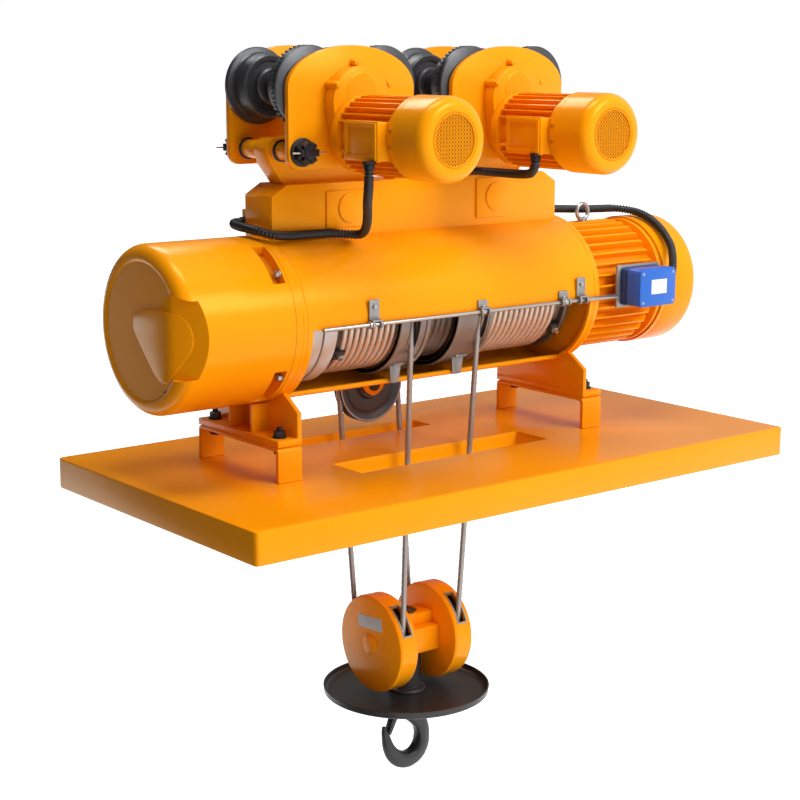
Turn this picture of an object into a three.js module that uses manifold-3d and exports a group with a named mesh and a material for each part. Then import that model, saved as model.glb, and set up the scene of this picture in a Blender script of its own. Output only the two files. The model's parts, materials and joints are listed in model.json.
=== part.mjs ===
// Electric wire rope hoist on a base plate, with two beam trolleys above and a hook block below.
// Millimetres, +Z up. X runs along the drum, -Y is the front, and the origin is the middle of the
// base plate's underside.

import * as THREE from "three";
import { mergeVertices } from "three/addons/utils/BufferGeometryUtils.js";
import Module from "manifold-3d";

const wasm = await Module();
wasm.setup();

// ---------------------------------------------------------------- driving dimensions

// Clearance between pieces, and how far a cutting shape runs past what it cuts.
const GAP = 0.3;
const OVERCUT = 10;

const BASE = { length: 1700, width: 870, thickness: 76, corner: 14 };
const FRONT_SLOT = { x0: -354, x1: 250, y0: -151, y1: -34 };
const REAR_SLOT = { x0: -350, x1: 125, y0: 171, y1: 244 };

const AXIS = { y: 50, z: 437 };
const SHELL = { radius: 197, wall: 10, x0: -506, x1: 415, window0: -490, window1: 400 };
const SHELL_SIDES = 32;
const WINDOW_TOP_DEG = 182.5;
const WINDOW_BOTTOM_DEG = 248;
const BULKHEAD_X = -518;
const GEAR_CASE = { x0: -830, wall: 8, fillet: 30 };
const FLANGE = { x0: 415.3, x1: 432 };
const MOTOR = { x1: 705, fin: 171, root: 150, bore: 84, fins: 30 };
const EYE = { x: 557, ring: 21, wire: 5.5, stem: 11, sides: 14 };
const SWITCH_BOX = [520, 656, -210, -136, 400, 500];
const SWITCH_PLATE = [508, 664, -136.5, -130, 394, 506];
const ROTOR = { core0: 470, core1: 660, fan0: 735, fan1: 775, fan: 120 };
const FAN_COVER = { x1: 840, radius: 176, wall: 5, fillet: 26 };

const LEG = { width: 68, top: 160, plate: 10, bend: 14, y0: -121.5, y1: 221.5 };
const LEG_LEFT_X = -575;
const LEG_RIGHT_X = 406;
const FOOT = { flange: 16, web: 12, shoulder: 235, neck: 285, neckHalf: 112 };

const ROPE_R = 7.5;
const DRUM = { groove: 134.5, inner: 120, collar: 162, hub: 45, bore: 24, pitch: 142.5 };
const DRUM_X = { gear: -625, collar: -430, barrel: -395, end: 355, rim: 370, hub: 428 };
const WINDING_LEFT = [-361, -179];
const WINDING_RIGHT = [80, 330];
const GUIDE = { inner: 153, outer: 167, tail: 6, slot: 12 };
const GUIDE_LEFT = [-205, -112];
const GUIDE_RIGHT = [-24, 92];
const GUIDE_TAIL = { y: -36, z0: 254, z1: 304 };
const GUIDE_TAIL_LEFT = [-180, -143];
const GUIDE_TAIL_RIGHT = [21, 61];
const ROPE_EXIT_LEFT = -157;
const ROPE_EXIT_RIGHT = 62;

const LIMIT_ROD = { x0: -470, x1: 490, z: 430, radius: 5, stop: 9, stops: [-330, 15, 300] };

const SHAFT_R = 16;
const GEAR = { distance: 100, pinion: 20, wheel: 80, pinion2: 26, wheel2: 74 };
const LAY_SHAFT = { x0: -740, radius: 14 };
const GEAR1_X = [-700, -672];
const GEAR2_X = [-620, -592];

const EQUALIZER = { x: -50, y: 220, z: 203, pitch: 97, outer: 103, half: 15, axle: 18 };
const BRACKET = { width: 40, cheek: 8, room: 3, below: 30, frontTop: 330, rearTop: 400 };

const BLOCK = { x: -46, y: 60, z: -451, offset: 91, pitch: 96, axle: 26, sheave: 112 };
const CROSSHEAD = { depth: 62, upperDepth: 34, half: 34, step: 30, top: 66, neck: 38 };
const CASING = { radius: 128, half: 30, wall: 7 };
const TRAY = { radius: 220, z: -604, rim: 20, wall: 4 };
const HOOK = { bowl: -748, outer: 76, inner: 36, thickness: 40, shank: 22, nut: 30 };

const SADDLE = { x0: -506, x1: 400, y0: -6, y1: 106, shoulder: 727, top: 753, corner: 43, wall: 8 };
const HANGER = { y0: 22, y1: 78, foot: 125, waist: 166, eye: 28 };
const REAR_ENTRY = [-486, -434, 103, 150, 632, 688];
const TOP_ENTRY = [-136, -86, 2, 50, 750, 793];
const TROLLEY_X = [-325, 162];
const TROLLEY_NAMES = ["left", "right"];
const TROLLEY = { half: 183, bottom: 793, spring: 976, rise: 97, corner: 28, plate: 15 };
const FRONT_PLATE_Y = -79;
const BACK_PLATE_Y = 164;
const WHEEL = { x: 107, z: 978, tread: 76, flange: 91, gear: 96, axle: 20 };
const TIE = { x: 146, z: 832, bolt: 16, spacer: 22, nut: 29, length: 38 };
const DRIVE = { motorZ: 870, pinionZ: 918.8, gear: 36.5, small: 12, pinion: 26, shaft: 14 };
const TROLLEY_MOTOR = { radius: 92, end: -448, cover: 97, back: -330, face: -116, wall: 8 };
const GEAR_COVER = { z: 943, radius: 83, lower: 72, room: 66, roomZ: 936 };
const TERMINAL_BOX = [-122, -60, -322, -204, 822, 907];

// ---------------------------------------------------------------- colours

const paint = { color: 0xf59a0c, roughness: 0.3, metalness: 0.1 };
const darkSteel = { color: 0x4a4b4f, roughness: 0.5, metalness: 0.6 };
const brightSteel = { color: 0xb4b2ae, roughness: 0.35, metalness: 0.9 };
const drumSteel = { color: 0x6f6862, roughness: 0.55, metalness: 0.7 };
const blackRubber = { color: 0x17181a, roughness: 0.6, metalness: 0.0 };
const bluePlastic = { color: 0x2367c4, roughness: 0.4, metalness: 0.0 };
const hookSteel = { color: 0x3c3c40, roughness: 0.45, metalness: 0.5 };

const hoist = new THREE.Group();

function add(name, geometry, look) {
  const mesh = new THREE.Mesh(geometry, new THREE.MeshStandardMaterial(look));
  mesh.name = name;
  hoist.add(mesh);
  return mesh;
}

// ---------------------------------------------------------------- solids

function toSolid(geometry) {
  const bare = geometry.clone();
  bare.deleteAttribute("normal");
  bare.deleteAttribute("uv");
  const merged = mergeVertices(bare, 1e-4);
  const vertProperties = new Float32Array(merged.attributes.position.array);
  const triVerts = new Uint32Array(merged.index.array);
  return new wasm.Manifold(new wasm.Mesh({ numProp: 3, vertProperties, triVerts }));
}

function fromSolid(solid) {
  const mesh = solid.getMesh();
  const geometry = new THREE.BufferGeometry();
  const step = mesh.numProp;
  const points = [];
  for (let i = 0; i < mesh.vertProperties.length; i += step) {
    points.push(mesh.vertProperties[i], mesh.vertProperties[i + 1], mesh.vertProperties[i + 2]);
  }
  geometry.setAttribute("position", new THREE.Float32BufferAttribute(points, 3));
  geometry.setIndex(Array.from(mesh.triVerts));
  return geometry;
}

function join(...geometries) {
  const solids = geometries.map(toSolid);
  return fromSolid(solids.reduce((sum, next) => sum.add(next)));
}

function cut(geometry, ...tools) {
  return fromSolid(tools.map(toSolid).reduce((rest, tool) => rest.subtract(tool), toSolid(geometry)));
}

function box(x0, x1, y0, y1, z0, z1) {
  const geometry = new THREE.BoxGeometry(x1 - x0, y1 - y0, z1 - z0);
  return geometry.translate((x0 + x1) / 2, (y0 + y1) / 2, (z0 + z1) / 2);
}

// A solid of revolution about X through (y, z); the profile's points are [x, radius].
function turnX(profile, segments, y = AXIS.y, z = AXIS.z) {
  const points = profile.map(([x, radius]) => new THREE.Vector2(radius, x));
  const geometry = new THREE.LatheGeometry(points, segments);
  return geometry.rotateZ(-Math.PI / 2).translate(0, y, z);
}

// A solid of revolution about Y through (x, z); the profile's points are [y, radius].
function turnY(profile, segments, x, z) {
  const points = profile.map(([y, radius]) => new THREE.Vector2(radius, y));
  return new THREE.LatheGeometry(points, segments).translate(x, 0, z);
}

// A solid of revolution about Z through (x, y); the profile's points are [z, radius].
function turnZ(profile, segments, x, y) {
  const points = profile.map(([z, radius]) => new THREE.Vector2(radius, z));
  return new THREE.LatheGeometry(points, segments).rotateX(Math.PI / 2).translate(x, y, 0);
}

function rodX(x0, x1, radius, segments, y, z) {
  return turnX([[x0, 0], [x0, radius], [x1, radius], [x1, 0]], segments, y, z);
}

function rodY(y0, y1, radius, segments, x, z) {
  return turnY([[y0, 0], [y0, radius], [y1, radius], [y1, 0]], segments, x, z);
}

function rodZ(z0, z1, radius, segments, x, y) {
  return turnZ([[z0, 0], [z0, radius], [z1, radius], [z1, 0]], segments, x, y);
}

// A shape drawn in (y, z), extruded along X from x0 to x1.
function plateX(shape, x0, x1, curveSegments = 12) {
  const options = { depth: x1 - x0, bevelEnabled: false, curveSegments };
  const geometry = new THREE.ExtrudeGeometry(shape, options);
  const turn = new THREE.Matrix4().makeBasis(
    new THREE.Vector3(0, 1, 0),
    new THREE.Vector3(0, 0, 1),
    new THREE.Vector3(1, 0, 0),
  );
  return geometry.applyMatrix4(turn).translate(x0, 0, 0);
}

// A shape drawn in (x, z), extruded along Y from y0 to y1.
function plateY(shape, y0, y1, curveSegments = 12) {
  const options = { depth: y1 - y0, bevelEnabled: false, curveSegments };
  const geometry = new THREE.ExtrudeGeometry(shape, options);
  return geometry.rotateX(Math.PI / 2).translate(0, y1, 0);
}

function outline(points) {
  const shape = new THREE.Shape();
  shape.moveTo(...points[0]);
  points.slice(1).forEach((point) => shape.lineTo(...point));
  shape.closePath();
  return shape;
}

// The radius whose polygon of so many sides still clears a round of the given radius.
function clearing(radius, sides) {
  return (radius + GAP) / Math.cos(Math.PI / sides);
}

// A curve through stations that stay where they are put, so bends get more of them than straights.
class Route extends THREE.Curve {
  constructor(stations) {
    super();
    this.stations = stations;
  }

  getPoint(t, target = new THREE.Vector3()) {
    const last = this.stations.length - 1;
    const place = Math.min(Math.max(t, 0), 1) * last;
    const index = Math.min(Math.floor(place), last - 1);
    return target.lerpVectors(this.stations[index], this.stations[index + 1], place - index);
  }

  getUtoTmapping(u) {
    return u;
  }
}

function tube(curve, steps, radius, sides) {
  const section = new THREE.Shape();
  for (let i = 0; i < sides; i += 1) {
    const angle = (2 * Math.PI * i) / sides;
    const point = [radius * Math.cos(angle), radius * Math.sin(angle)];
    if (i === 0) section.moveTo(...point);
    else section.lineTo(...point);
  }
  section.closePath();
  const options = { steps, extrudePath: curve, bevelEnabled: false, curveSegments: 1 };
  return new THREE.ExtrudeGeometry(section, options);
}

// ---------------------------------------------------------------- base and supports

function basePlate() {
  const { length, width, corner } = BASE;
  const x = length / 2;
  const y = width / 2;
  const shape = new THREE.Shape();
  shape.absarc(x - corner, y - corner, corner, 0, Math.PI / 2);
  shape.absarc(-x + corner, y - corner, corner, Math.PI / 2, Math.PI);
  shape.absarc(-x + corner, -y + corner, corner, Math.PI, 1.5 * Math.PI);
  shape.absarc(x - corner, -y + corner, corner, 1.5 * Math.PI, 2 * Math.PI);
  shape.closePath();
  for (const slot of [FRONT_SLOT, REAR_SLOT]) {
    const hole = new THREE.Path();
    hole.moveTo(slot.x0, slot.y0);
    hole.lineTo(slot.x0, slot.y1);
    hole.lineTo(slot.x1, slot.y1);
    hole.lineTo(slot.x1, slot.y0);
    hole.closePath();
    shape.holes.push(hole);
  }
  const options = { depth: BASE.thickness, bevelEnabled: false, curveSegments: 3 };
  return new THREE.ExtrudeGeometry(shape, options);
}

// A strip bent into an upside-down U that stands on the base plate.
function portalLeg(x0) {
  const { y0, y1, top, plate, bend, width } = LEG;
  const z0 = BASE.thickness + GAP;
  const shape = new THREE.Shape();
  shape.moveTo(y0, z0);
  shape.lineTo(y0 + plate, z0);
  shape.lineTo(y0 + plate, top - plate);
  shape.lineTo(y1 - plate, top - plate);
  shape.lineTo(y1 - plate, z0);
  shape.lineTo(y1, z0);
  shape.absarc(y1 - bend, top - bend, bend, 0, Math.PI / 2);
  shape.absarc(y0 + bend, top - bend, bend, Math.PI / 2, Math.PI);
  shape.closePath();
  return plateX(shape, x0, x0 + width, 3);
}

// The space that the shell takes up between two stations, with its gap.
function shellSeat(x0, x1) {
  return rodX(x0 - OVERCUT, x1 + OVERCUT, SHELL.radius + GAP, SHELL_SIDES, AXIS.y, AXIS.z);
}

// A web that cradles the shell, welded to the flange that is bolted to the leg.
function foot(flangeX0, webX0) {
  const z0 = LEG.top + GAP;
  const half = (LEG.y1 - LEG.y0) / 2;
  const web = outline([
    [AXIS.y - half, z0],
    [AXIS.y + half, z0],
    [AXIS.y + half, FOOT.shoulder],
    [AXIS.y + FOOT.neckHalf, FOOT.neck],
    [AXIS.y - FOOT.neckHalf, FOOT.neck],
    [AXIS.y - half, FOOT.shoulder],
  ]);
  const flange = box(flangeX0, flangeX0 + LEG.width, LEG.y0, LEG.y1, z0, z0 + FOOT.flange);
  const blank = join(plateX(web, webX0, webX0 + FOOT.web), flange);
  return cut(blank, shellSeat(flangeX0, flangeX0 + LEG.width));
}

// ---------------------------------------------------------------- drum housing

function drumShell() {
  const { radius, wall, x0, x1, window0, window1 } = SHELL;
  const inner = radius - wall;
  const blank = turnX([[x0, inner], [x0, radius], [x1, radius], [x1, inner], [x0, inner]], SHELL_SIDES);
  const reach = radius * 1.5;
  const top = THREE.MathUtils.degToRad(WINDOW_TOP_DEG);
  const bottom = THREE.MathUtils.degToRad(WINDOW_BOTTOM_DEG);
  const wedge = outline([
    [AXIS.y, AXIS.z],
    [AXIS.y + reach * Math.cos(top), AXIS.z + reach * Math.sin(top)],
    [AXIS.y + reach * Math.cos(bottom), AXIS.z + reach * Math.sin(bottom)],
  ]);
  return cut(blank, plateX(wedge, window0, window1));
}

function hubBore(x0, x1) {
  return rodX(x0 - OVERCUT, x1 + OVERCUT, clearing(DRUM.hub, 24), 24, AXIS.y, AXIS.z);
}

function bulkhead() {
  const x1 = SHELL.x0 - GAP;
  const disc = turnX(
    [[BULKHEAD_X, 0], [BULKHEAD_X, SHELL.radius], [x1, SHELL.radius], [x1, 0]],
    SHELL_SIDES,
  );
  return cut(disc, hubBore(BULKHEAD_X, x1));
}

function gearCase() {
  const { x0, wall, fillet } = GEAR_CASE;
  const radius = SHELL.radius;
  const x1 = BULKHEAD_X - GAP;
  const outer = [[x0, 0], [x0, radius - fillet]];
  for (const turn of [30, 60, 90]) {
    const angle = THREE.MathUtils.degToRad(turn);
    const x = x0 + fillet * (1 - Math.cos(angle));
    outer.push([x, radius - fillet + fillet * Math.sin(angle)]);
  }
  outer.push([x1, radius], [x1, radius - wall], [x0 + fillet, radius - wall]);
  outer.push([x0 + wall, radius - fillet], [x0 + wall, 0]);
  return turnX(outer, SHELL_SIDES);
}

function motorFlange() {
  const { x0, x1 } = FLANGE;
  const disc = turnX([[x0, 0], [x0, SHELL.radius], [x1, SHELL.radius], [x1, 0]], SHELL_SIDES);
  return cut(disc, hubBore(x0, x1));
}

// ---------------------------------------------------------------- hoist motor

// A finned round section: the fins stand on the root circle at equal angles.
function finnedRing(root, tip, bore, count, share) {
  const shape = new THREE.Shape();
  const pitch = (2 * Math.PI) / count;
  for (let i = 0; i < count; i += 1) {
    const middle = i * pitch;
    const half = (pitch * share) / 2;
    const corners = [
      [root, middle - half],
      [tip, middle - half * 0.7],
      [tip, middle + half * 0.7],
      [root, middle + half],
    ];
    corners.forEach(([radius, angle], n) => {
      const point = [radius * Math.cos(angle), radius * Math.sin(angle)];
      if (i === 0 && n === 0) shape.moveTo(...point);
      else shape.lineTo(...point);
    });
  }
  shape.closePath();
  const hole = new THREE.Path();
  hole.absarc(0, 0, bore, 0, 2 * Math.PI, true);
  shape.holes.push(hole);
  return shape;
}

function motorHousing() {
  const shape = finnedRing(MOTOR.root, MOTOR.fin, MOTOR.bore, MOTOR.fins, 0.36);
  const ring = plateX(shape, FLANGE.x1 + GAP, MOTOR.x1 - GAP, 8);
  return ring.translate(0, AXIS.y, AXIS.z);
}

// A cup over the fan: open towards the motor, with a round-edged end.
function cupX(x0, x1, radius, wall, fillet, segments) {
  return turnX(
    [
      [x0, radius - wall],
      [x0, radius],
      [x1 - fillet, radius],
      [x1 - fillet * 0.29, radius - fillet * 0.29],
      [x1, radius - fillet],
      [x1, 0],
      [x1 - wall, 0],
      [x1 - wall, radius - fillet],
      [x1 - fillet, radius - wall],
      [x0, radius - wall],
    ],
    segments,
  );
}

// Long shaft through the hollow drum: gear case pinion, rotor core and fan in one turned piece.
function motorRotor() {
  const { core0, core1, fan0, fan1, fan } = ROTOR;
  return turnX(
    [
      [GEAR1_X[0], 0],
      [GEAR1_X[0], GEAR.pinion - GAP / 2],
      [GEAR1_X[1], GEAR.pinion - GAP / 2],
      [GEAR1_X[1], SHAFT_R],
      [core0, SHAFT_R],
      [core0, MOTOR.bore - 4],
      [core1, MOTOR.bore - 4],
      [core1, SHAFT_R],
      [fan0, SHAFT_R],
      [fan0, fan],
      [fan1, fan],
      [fan1, 0],
    ],
    18,
  );
}

function liftingEye() {
  const { x, ring: radius, wire, stem: foot, sides } = EYE;
  const ring = new THREE.TorusGeometry(radius, wire, 6, sides).rotateX(Math.PI / 2);
  const reach = (radius + wire) * Math.cos(Math.PI / sides);
  const stem = rodZ(-reach, wire - radius + 4, foot, 8, 0, 0);
  return join(ring, stem).translate(x, AXIS.y, AXIS.z + MOTOR.fin + reach + GAP);
}

// Box with the hoisting limit switch, on a back plate that stands off the fins.
function controlBox() {
  const arm = box(560, 616, SWITCH_PLATE[3] - 1, AXIS.y - MOTOR.fin - GAP, 430, 470);
  return join(box(...SWITCH_BOX), box(...SWITCH_PLATE), arm);
}

// ---------------------------------------------------------------- gears and drum

function intermediateGear() {
  const shaft = LAY_SHAFT.radius;
  const pinion = GEAR.pinion2 - GAP / 2;
  const wheel = GEAR.wheel - GAP / 2;
  const z = AXIS.z + GEAR.distance;
  return turnX(
    [
      [LAY_SHAFT.x0, 0],
      [LAY_SHAFT.x0, shaft],
      [GEAR1_X[0], shaft],
      [GEAR1_X[0], wheel],
      [GEAR1_X[1], wheel],
      [GEAR1_X[1], shaft],
      [GEAR2_X[0], shaft],
      [GEAR2_X[0], pinion],
      [GEAR2_X[1], pinion],
      [GEAR2_X[1], shaft],
      [BULKHEAD_X - 2, shaft],
      [BULKHEAD_X - 2, 0],
    ],
    20,
    AXIS.y,
    z,
  );
}

// Hollow grooved barrel with its collar, its end hubs and the output gear on the long hub.
function drum() {
  const { groove, inner, collar, hub, bore } = DRUM;
  const wheel = GEAR.wheel2 - GAP / 2;
  return turnX(
    [
      [DRUM_X.gear, bore],
      [DRUM_X.gear, hub],
      [GEAR2_X[0], hub],
      [GEAR2_X[0], wheel],
      [GEAR2_X[1], wheel],
      [GEAR2_X[1], hub],
      [DRUM_X.collar, hub],
      [DRUM_X.collar, collar],
      [DRUM_X.barrel, collar],
      [DRUM_X.barrel, groove],
      [DRUM_X.end, groove],
      [DRUM_X.end, collar - 12],
      [DRUM_X.rim, collar - 12],
      [DRUM_X.rim, hub],
      [DRUM_X.hub, hub],
      [DRUM_X.hub, bore],
      [DRUM_X.end, bore],
      [DRUM_X.end, inner],
      [DRUM_X.collar + 15, inner],
      [DRUM_X.collar + 15, bore],
      [DRUM_X.gear, bore],
    ],
    20,
  );
}

function winding([x0, x1]) {
  const inner = DRUM.groove + GAP;
  const outer = DRUM.pitch + ROPE_R;
  return turnX([[x0, inner], [x0, outer], [x1, outer], [x1, inner], [x0, inner]], 20);
}

// Ring nut that lays the rope, with the rope's exit slot in front and a tail at the bottom.
function ropeGuide([x0, x1], [tail0, tail1], ropeX) {
  const { inner, outer } = GUIDE;
  const ring = turnX([[x0, inner], [x0, outer], [x1, outer], [x1, inner], [x0, inner]], 28);
  const { y, z0, z1 } = GUIDE_TAIL;
  const tail = box(tail0, tail1, y, y + GUIDE.tail, z0, z1);
  const front = AXIS.y - DRUM.pitch;
  const slot = box(ropeX - GUIDE.slot, ropeX + GUIDE.slot, front - 32, front + 18, 322, 420);
  return cut(join(ring, tail), slot);
}

// Rod along the window's upper edge, pushed by the guides, that works the limit switch.
function limitRod() {
  const { x0, x1, z, radius, stop, stops } = LIMIT_ROD;
  const profile = [[x0, 0], [x0, radius]];
  for (const x of stops) {
    profile.push([x - 8, radius], [x - 8, stop], [x + 8, stop], [x + 8, radius]);
  }
  profile.push([x1, radius], [x1, 0]);
  return turnX(profile, 10, AXIS.y - SHELL.radius - 10, z);
}

// ---------------------------------------------------------------- equalizer and rope

function sheave(plane, half, outer, pitch, bore) {
  const bottom = pitch - ROPE_R - 3.5;
  return [
    [plane - half, bore],
    [plane - half, outer],
    [plane - half + 4, outer],
    [plane - 6, bottom],
    [plane + 6, bottom],
    [plane + half - 4, outer],
    [plane + half, outer],
    [plane + half, bore],
    [plane - half, bore],
  ];
}

function equalizerSheave() {
  const { x, y, z, half, outer, pitch, axle } = EQUALIZER;
  return turnY(sheave(y, half, outer, pitch, clearing(axle, 16)), 18, x, z);
}

// Two cheeks hung on the shell's rear, with the sheave's axle between them.
function equalizerBracket() {
  const { x, y, z, half, axle: radius } = EQUALIZER;
  const { width, cheek, room, below, frontTop, rearTop } = BRACKET;
  const inner = half + room;
  const outer = inner + cheek;
  const front = box(x - width, x + width, y - outer, y - inner, z - below, frontTop);
  const rear = box(x - width, x + width, y + inner, y + outer, z - below, rearTop);
  const axle = rodY(y - inner - 2, y + inner + 2, radius, 12, x, z);
  return cut(join(front, rear, axle), shellSeat(x - width, x + width));
}

function arcStations(centre, radius, from, to, count, first, second) {
  const stations = [];
  for (let i = 0; i <= count; i += 1) {
    const angle = THREE.MathUtils.degToRad(from + ((to - from) * i) / count);
    const point = centre.clone();
    point[first] += radius * Math.cos(angle);
    point[second] += radius * Math.sin(angle);
    stations.push(point);
  }
  return stations;
}

// One rope: both ends come off the drum, pass under the block's sheaves and over the equalizer.
function ropeFalls() {
  const front = AXIS.y - DRUM.pitch;
  const left = new THREE.Vector3(BLOCK.x - BLOCK.offset, BLOCK.y, BLOCK.z);
  const right = new THREE.Vector3(BLOCK.x + BLOCK.offset, BLOCK.y, BLOCK.z);
  const middle = new THREE.Vector3(EQUALIZER.x, EQUALIZER.y, EQUALIZER.z);
  const stations = [
    new THREE.Vector3(ROPE_EXIT_LEFT, front, AXIS.z - 2),
    ...arcStations(left, BLOCK.pitch, 184, 354, 10, "y", "z"),
    ...arcStations(middle, EQUALIZER.pitch, 180, 0, 10, "x", "z"),
    ...arcStations(right, BLOCK.pitch, 354, 184, 10, "y", "z"),
    new THREE.Vector3(ROPE_EXIT_RIGHT, front, AXIS.z - 2),
  ];
  return tube(new Route(stations), stations.length - 1, ROPE_R, 8);
}

// ---------------------------------------------------------------- hook block

// Round casing around a sheave, with openings in its rim where the rope goes in and out.
function casing(plane) {
  const { radius, half, wall } = CASING;
  const bore = clearing(BLOCK.axle, 20);
  const shell = turnX(
    [
      [plane - half, bore],
      [plane - half, radius - 8],
      [plane - half + 8, radius],
      [plane + half - 8, radius],
      [plane + half, radius - 8],
      [plane + half, bore],
      [plane + half - wall, bore],
      [plane + half - wall, radius - wall - 3],
      [plane - half + wall, radius - wall - 3],
      [plane - half + wall, bore],
      [plane - half, bore],
    ],
    22,
    BLOCK.y,
    BLOCK.z,
  );
  const slots = [-1, 1].map((side) => {
    const y = BLOCK.y + side * BLOCK.pitch;
    return box(plane - 12, plane + 12, y - 26, y + 26, BLOCK.z + 35, BLOCK.z + 140);
  });
  return cut(shell, ...slots);
}

function blockSheave(plane) {
  const profile = sheave(plane, 18, BLOCK.sheave, BLOCK.pitch, clearing(BLOCK.axle, 20));
  return turnX(profile, 18, BLOCK.y, BLOCK.z);
}

// Stepped block between the casings, with the sheave axle and the neck that carries the tray.
function crosshead() {
  const { x, y, z, offset } = BLOCK;
  const { depth, upperDepth, half, step, top } = CROSSHEAD;
  const inside = offset - CASING.half - GAP;
  const axleEnd = offset + CASING.half + 6;
  const lower = box(x - inside, x + inside, y - depth, y + depth, z - half, z + half);
  const upper = box(x - inside, x + inside, y - upperDepth, y + upperDepth, z + step, z + top);
  const axle = rodX(x - axleEnd, x + axleEnd, BLOCK.axle, 20, y, z);
  const neck = rodZ(TRAY.z + GAP + TRAY.wall, z - step, CROSSHEAD.neck, 16, x, y);
  const bore = rodZ(TRAY.z - OVERCUT, z + 32, clearing(HOOK.shank, 16), 16, x, y);
  const nutRoom = rodZ(z + 20, z + top + OVERCUT, clearing(HOOK.nut, 16), 16, x, y);
  return cut(join(lower, upper, axle, neck), bore, nutRoom);
}

function tray() {
  const { radius, z, rim, wall } = TRAY;
  const bore = clearing(HOOK.shank, 16);
  return turnZ(
    [
      [z, bore],
      [z, radius - 6],
      [z + 6, radius],
      [z + rim, radius],
      [z + rim, radius - wall],
      [z + 8, radius - wall],
      [z + wall, radius - wall - 8],
      [z + wall, bore],
      [z, bore],
    ],
    28,
    BLOCK.x,
    BLOCK.y,
  );
}

// Flat-sided hook: a bowl with its tip turned up on the left, on a round shank with its nut.
function hook() {
  const { bowl, outer, inner, thickness, shank } = HOOK;
  const x = BLOCK.x;
  const shape = new THREE.Shape();
  shape.moveTo(x - 24, bowl + 112);
  shape.lineTo(x - 24, bowl + 84);
  shape.quadraticCurveTo(x - 4, bowl + 62, x + 14, bowl + 42);
  shape.absarc(x - 4, bowl, inner, 1.2, -2.9, true);
  shape.lineTo(x - 66, bowl + 52);
  shape.lineTo(x - 82, bowl + 58);
  shape.quadraticCurveTo(x - 88, bowl + 20, x - outer * 0.98, bowl - 10);
  shape.absarc(x, bowl, outer, Math.PI + 0.15, 2 * Math.PI + 0.35);
  shape.quadraticCurveTo(x + 62, bowl + 66, x + 24, bowl + 92);
  shape.lineTo(x + 24, bowl + 112);
  shape.closePath();
  const y = BLOCK.y;
  const plate = plateY(shape, y - thickness / 2, y + thickness / 2, 8);
  const stem = rodZ(bowl + 90, BLOCK.z + 56, shank, 16, x, y);
  const nut = rodZ(BLOCK.z + 32 + GAP, BLOCK.z + 62, HOOK.nut, 6, x, y);
  return join(plate, stem, nut);
}

function hookLatch() {
  const { bowl } = HOOK;
  const x = BLOCK.x;
  const y = BLOCK.y;
  const half = 9;
  const arm = outline([
    [x - 34, bowl + 96],
    [x - 27, bowl + 92],
    [x - 50, bowl + 40],
    [x - 57, bowl + 44],
  ]);
  return plateY(arm, y - half, y + half);
}

// ---------------------------------------------------------------- saddle and hangers

function hanger(centre) {
  const { x: tieX, z: tieZ } = TIE;
  const { foot, waist, eye } = HANGER;
  const shape = new THREE.Shape();
  shape.moveTo(centre - foot, SADDLE.top - 5);
  shape.lineTo(centre + foot, SADDLE.top - 5);
  shape.lineTo(centre + waist, tieZ - 30);
  shape.absarc(centre + tieX, tieZ, eye, -0.5, Math.PI / 2);
  shape.absarc(centre - tieX, tieZ, eye, Math.PI / 2, Math.PI + 0.5);
  shape.lineTo(centre - waist, tieZ - 30);
  shape.closePath();
  for (const side of [-1, 1]) {
    const hole = new THREE.Path();
    hole.absarc(centre + side * tieX, tieZ, clearing(TIE.bolt, 8), 0, 2 * Math.PI, true);
    shape.holes.push(hole);
  }
  return plateY(shape, HANGER.y0, HANGER.y1, 4);
}

// Welded box on top of the shell, open underneath, that carries the trolley hangers and the two
// small boxes where the trolleys' conduits go in.
function saddle() {
  const { x0, x1, y0, y1, shoulder, top, corner, wall } = SADDLE;
  const bottom = AXIS.z + 120;
  const profile = outline([
    [x0, bottom],
    [x1, bottom],
    [x1, shoulder],
    [x1 - corner, top],
    [x0 + corner, top],
    [x0, shoulder],
  ]);
  const room = box(x0 + wall, x1 - wall, y0 + wall, y1 - wall, bottom - OVERCUT, shoulder - wall);
  const shellOnly = cut(plateY(profile, y0, y1), room, shellSeat(x0, x1));
  return join(shellOnly, ...TROLLEY_X.map(hanger), box(...REAR_ENTRY), box(...TOP_ENTRY));
}

// ---------------------------------------------------------------- trolleys

function tombstone(centre) {
  const { half, bottom, spring, rise, corner } = TROLLEY;
  const shape = new THREE.Shape();
  shape.absarc(centre - half + corner, bottom + corner, corner, Math.PI, 1.5 * Math.PI);
  shape.absarc(centre + half - corner, bottom + corner, corner, 1.5 * Math.PI, 2 * Math.PI);
  shape.absellipse(centre, spring, half, rise, 0, Math.PI);
  shape.closePath();
  for (const side of [-1, 1]) {
    const hole = new THREE.Path();
    const x = centre + side * TIE.x;
    hole.absarc(x, TIE.z, clearing(TIE.bolt, 10), 0, 2 * Math.PI, true);
    shape.holes.push(hole);
  }
  return shape;
}

function stubAxles(centre, y0, y1) {
  return [-1, 1].map((side) => rodY(y0, y1, WHEEL.axle, 10, centre + side * WHEEL.x, WHEEL.z));
}

function frontPlate(centre) {
  const inner = FRONT_PLATE_Y + TROLLEY.plate;
  const shape = tombstone(centre);
  const hole = new THREE.Path();
  hole.absarc(centre, DRIVE.pinionZ, clearing(DRIVE.shaft, 10), 0, 2 * Math.PI, true);
  shape.holes.push(hole);
  const plate = plateY(shape, FRONT_PLATE_Y, inner, 5);
  return join(plate, ...stubAxles(centre, inner - 4, 6));
}

function backPlate(centre) {
  const plate = plateY(tombstone(centre), BACK_PLATE_Y, BACK_PLATE_Y + TROLLEY.plate, 5);
  return join(plate, ...stubAxles(centre, 94, BACK_PLATE_Y + 4));
}

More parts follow.
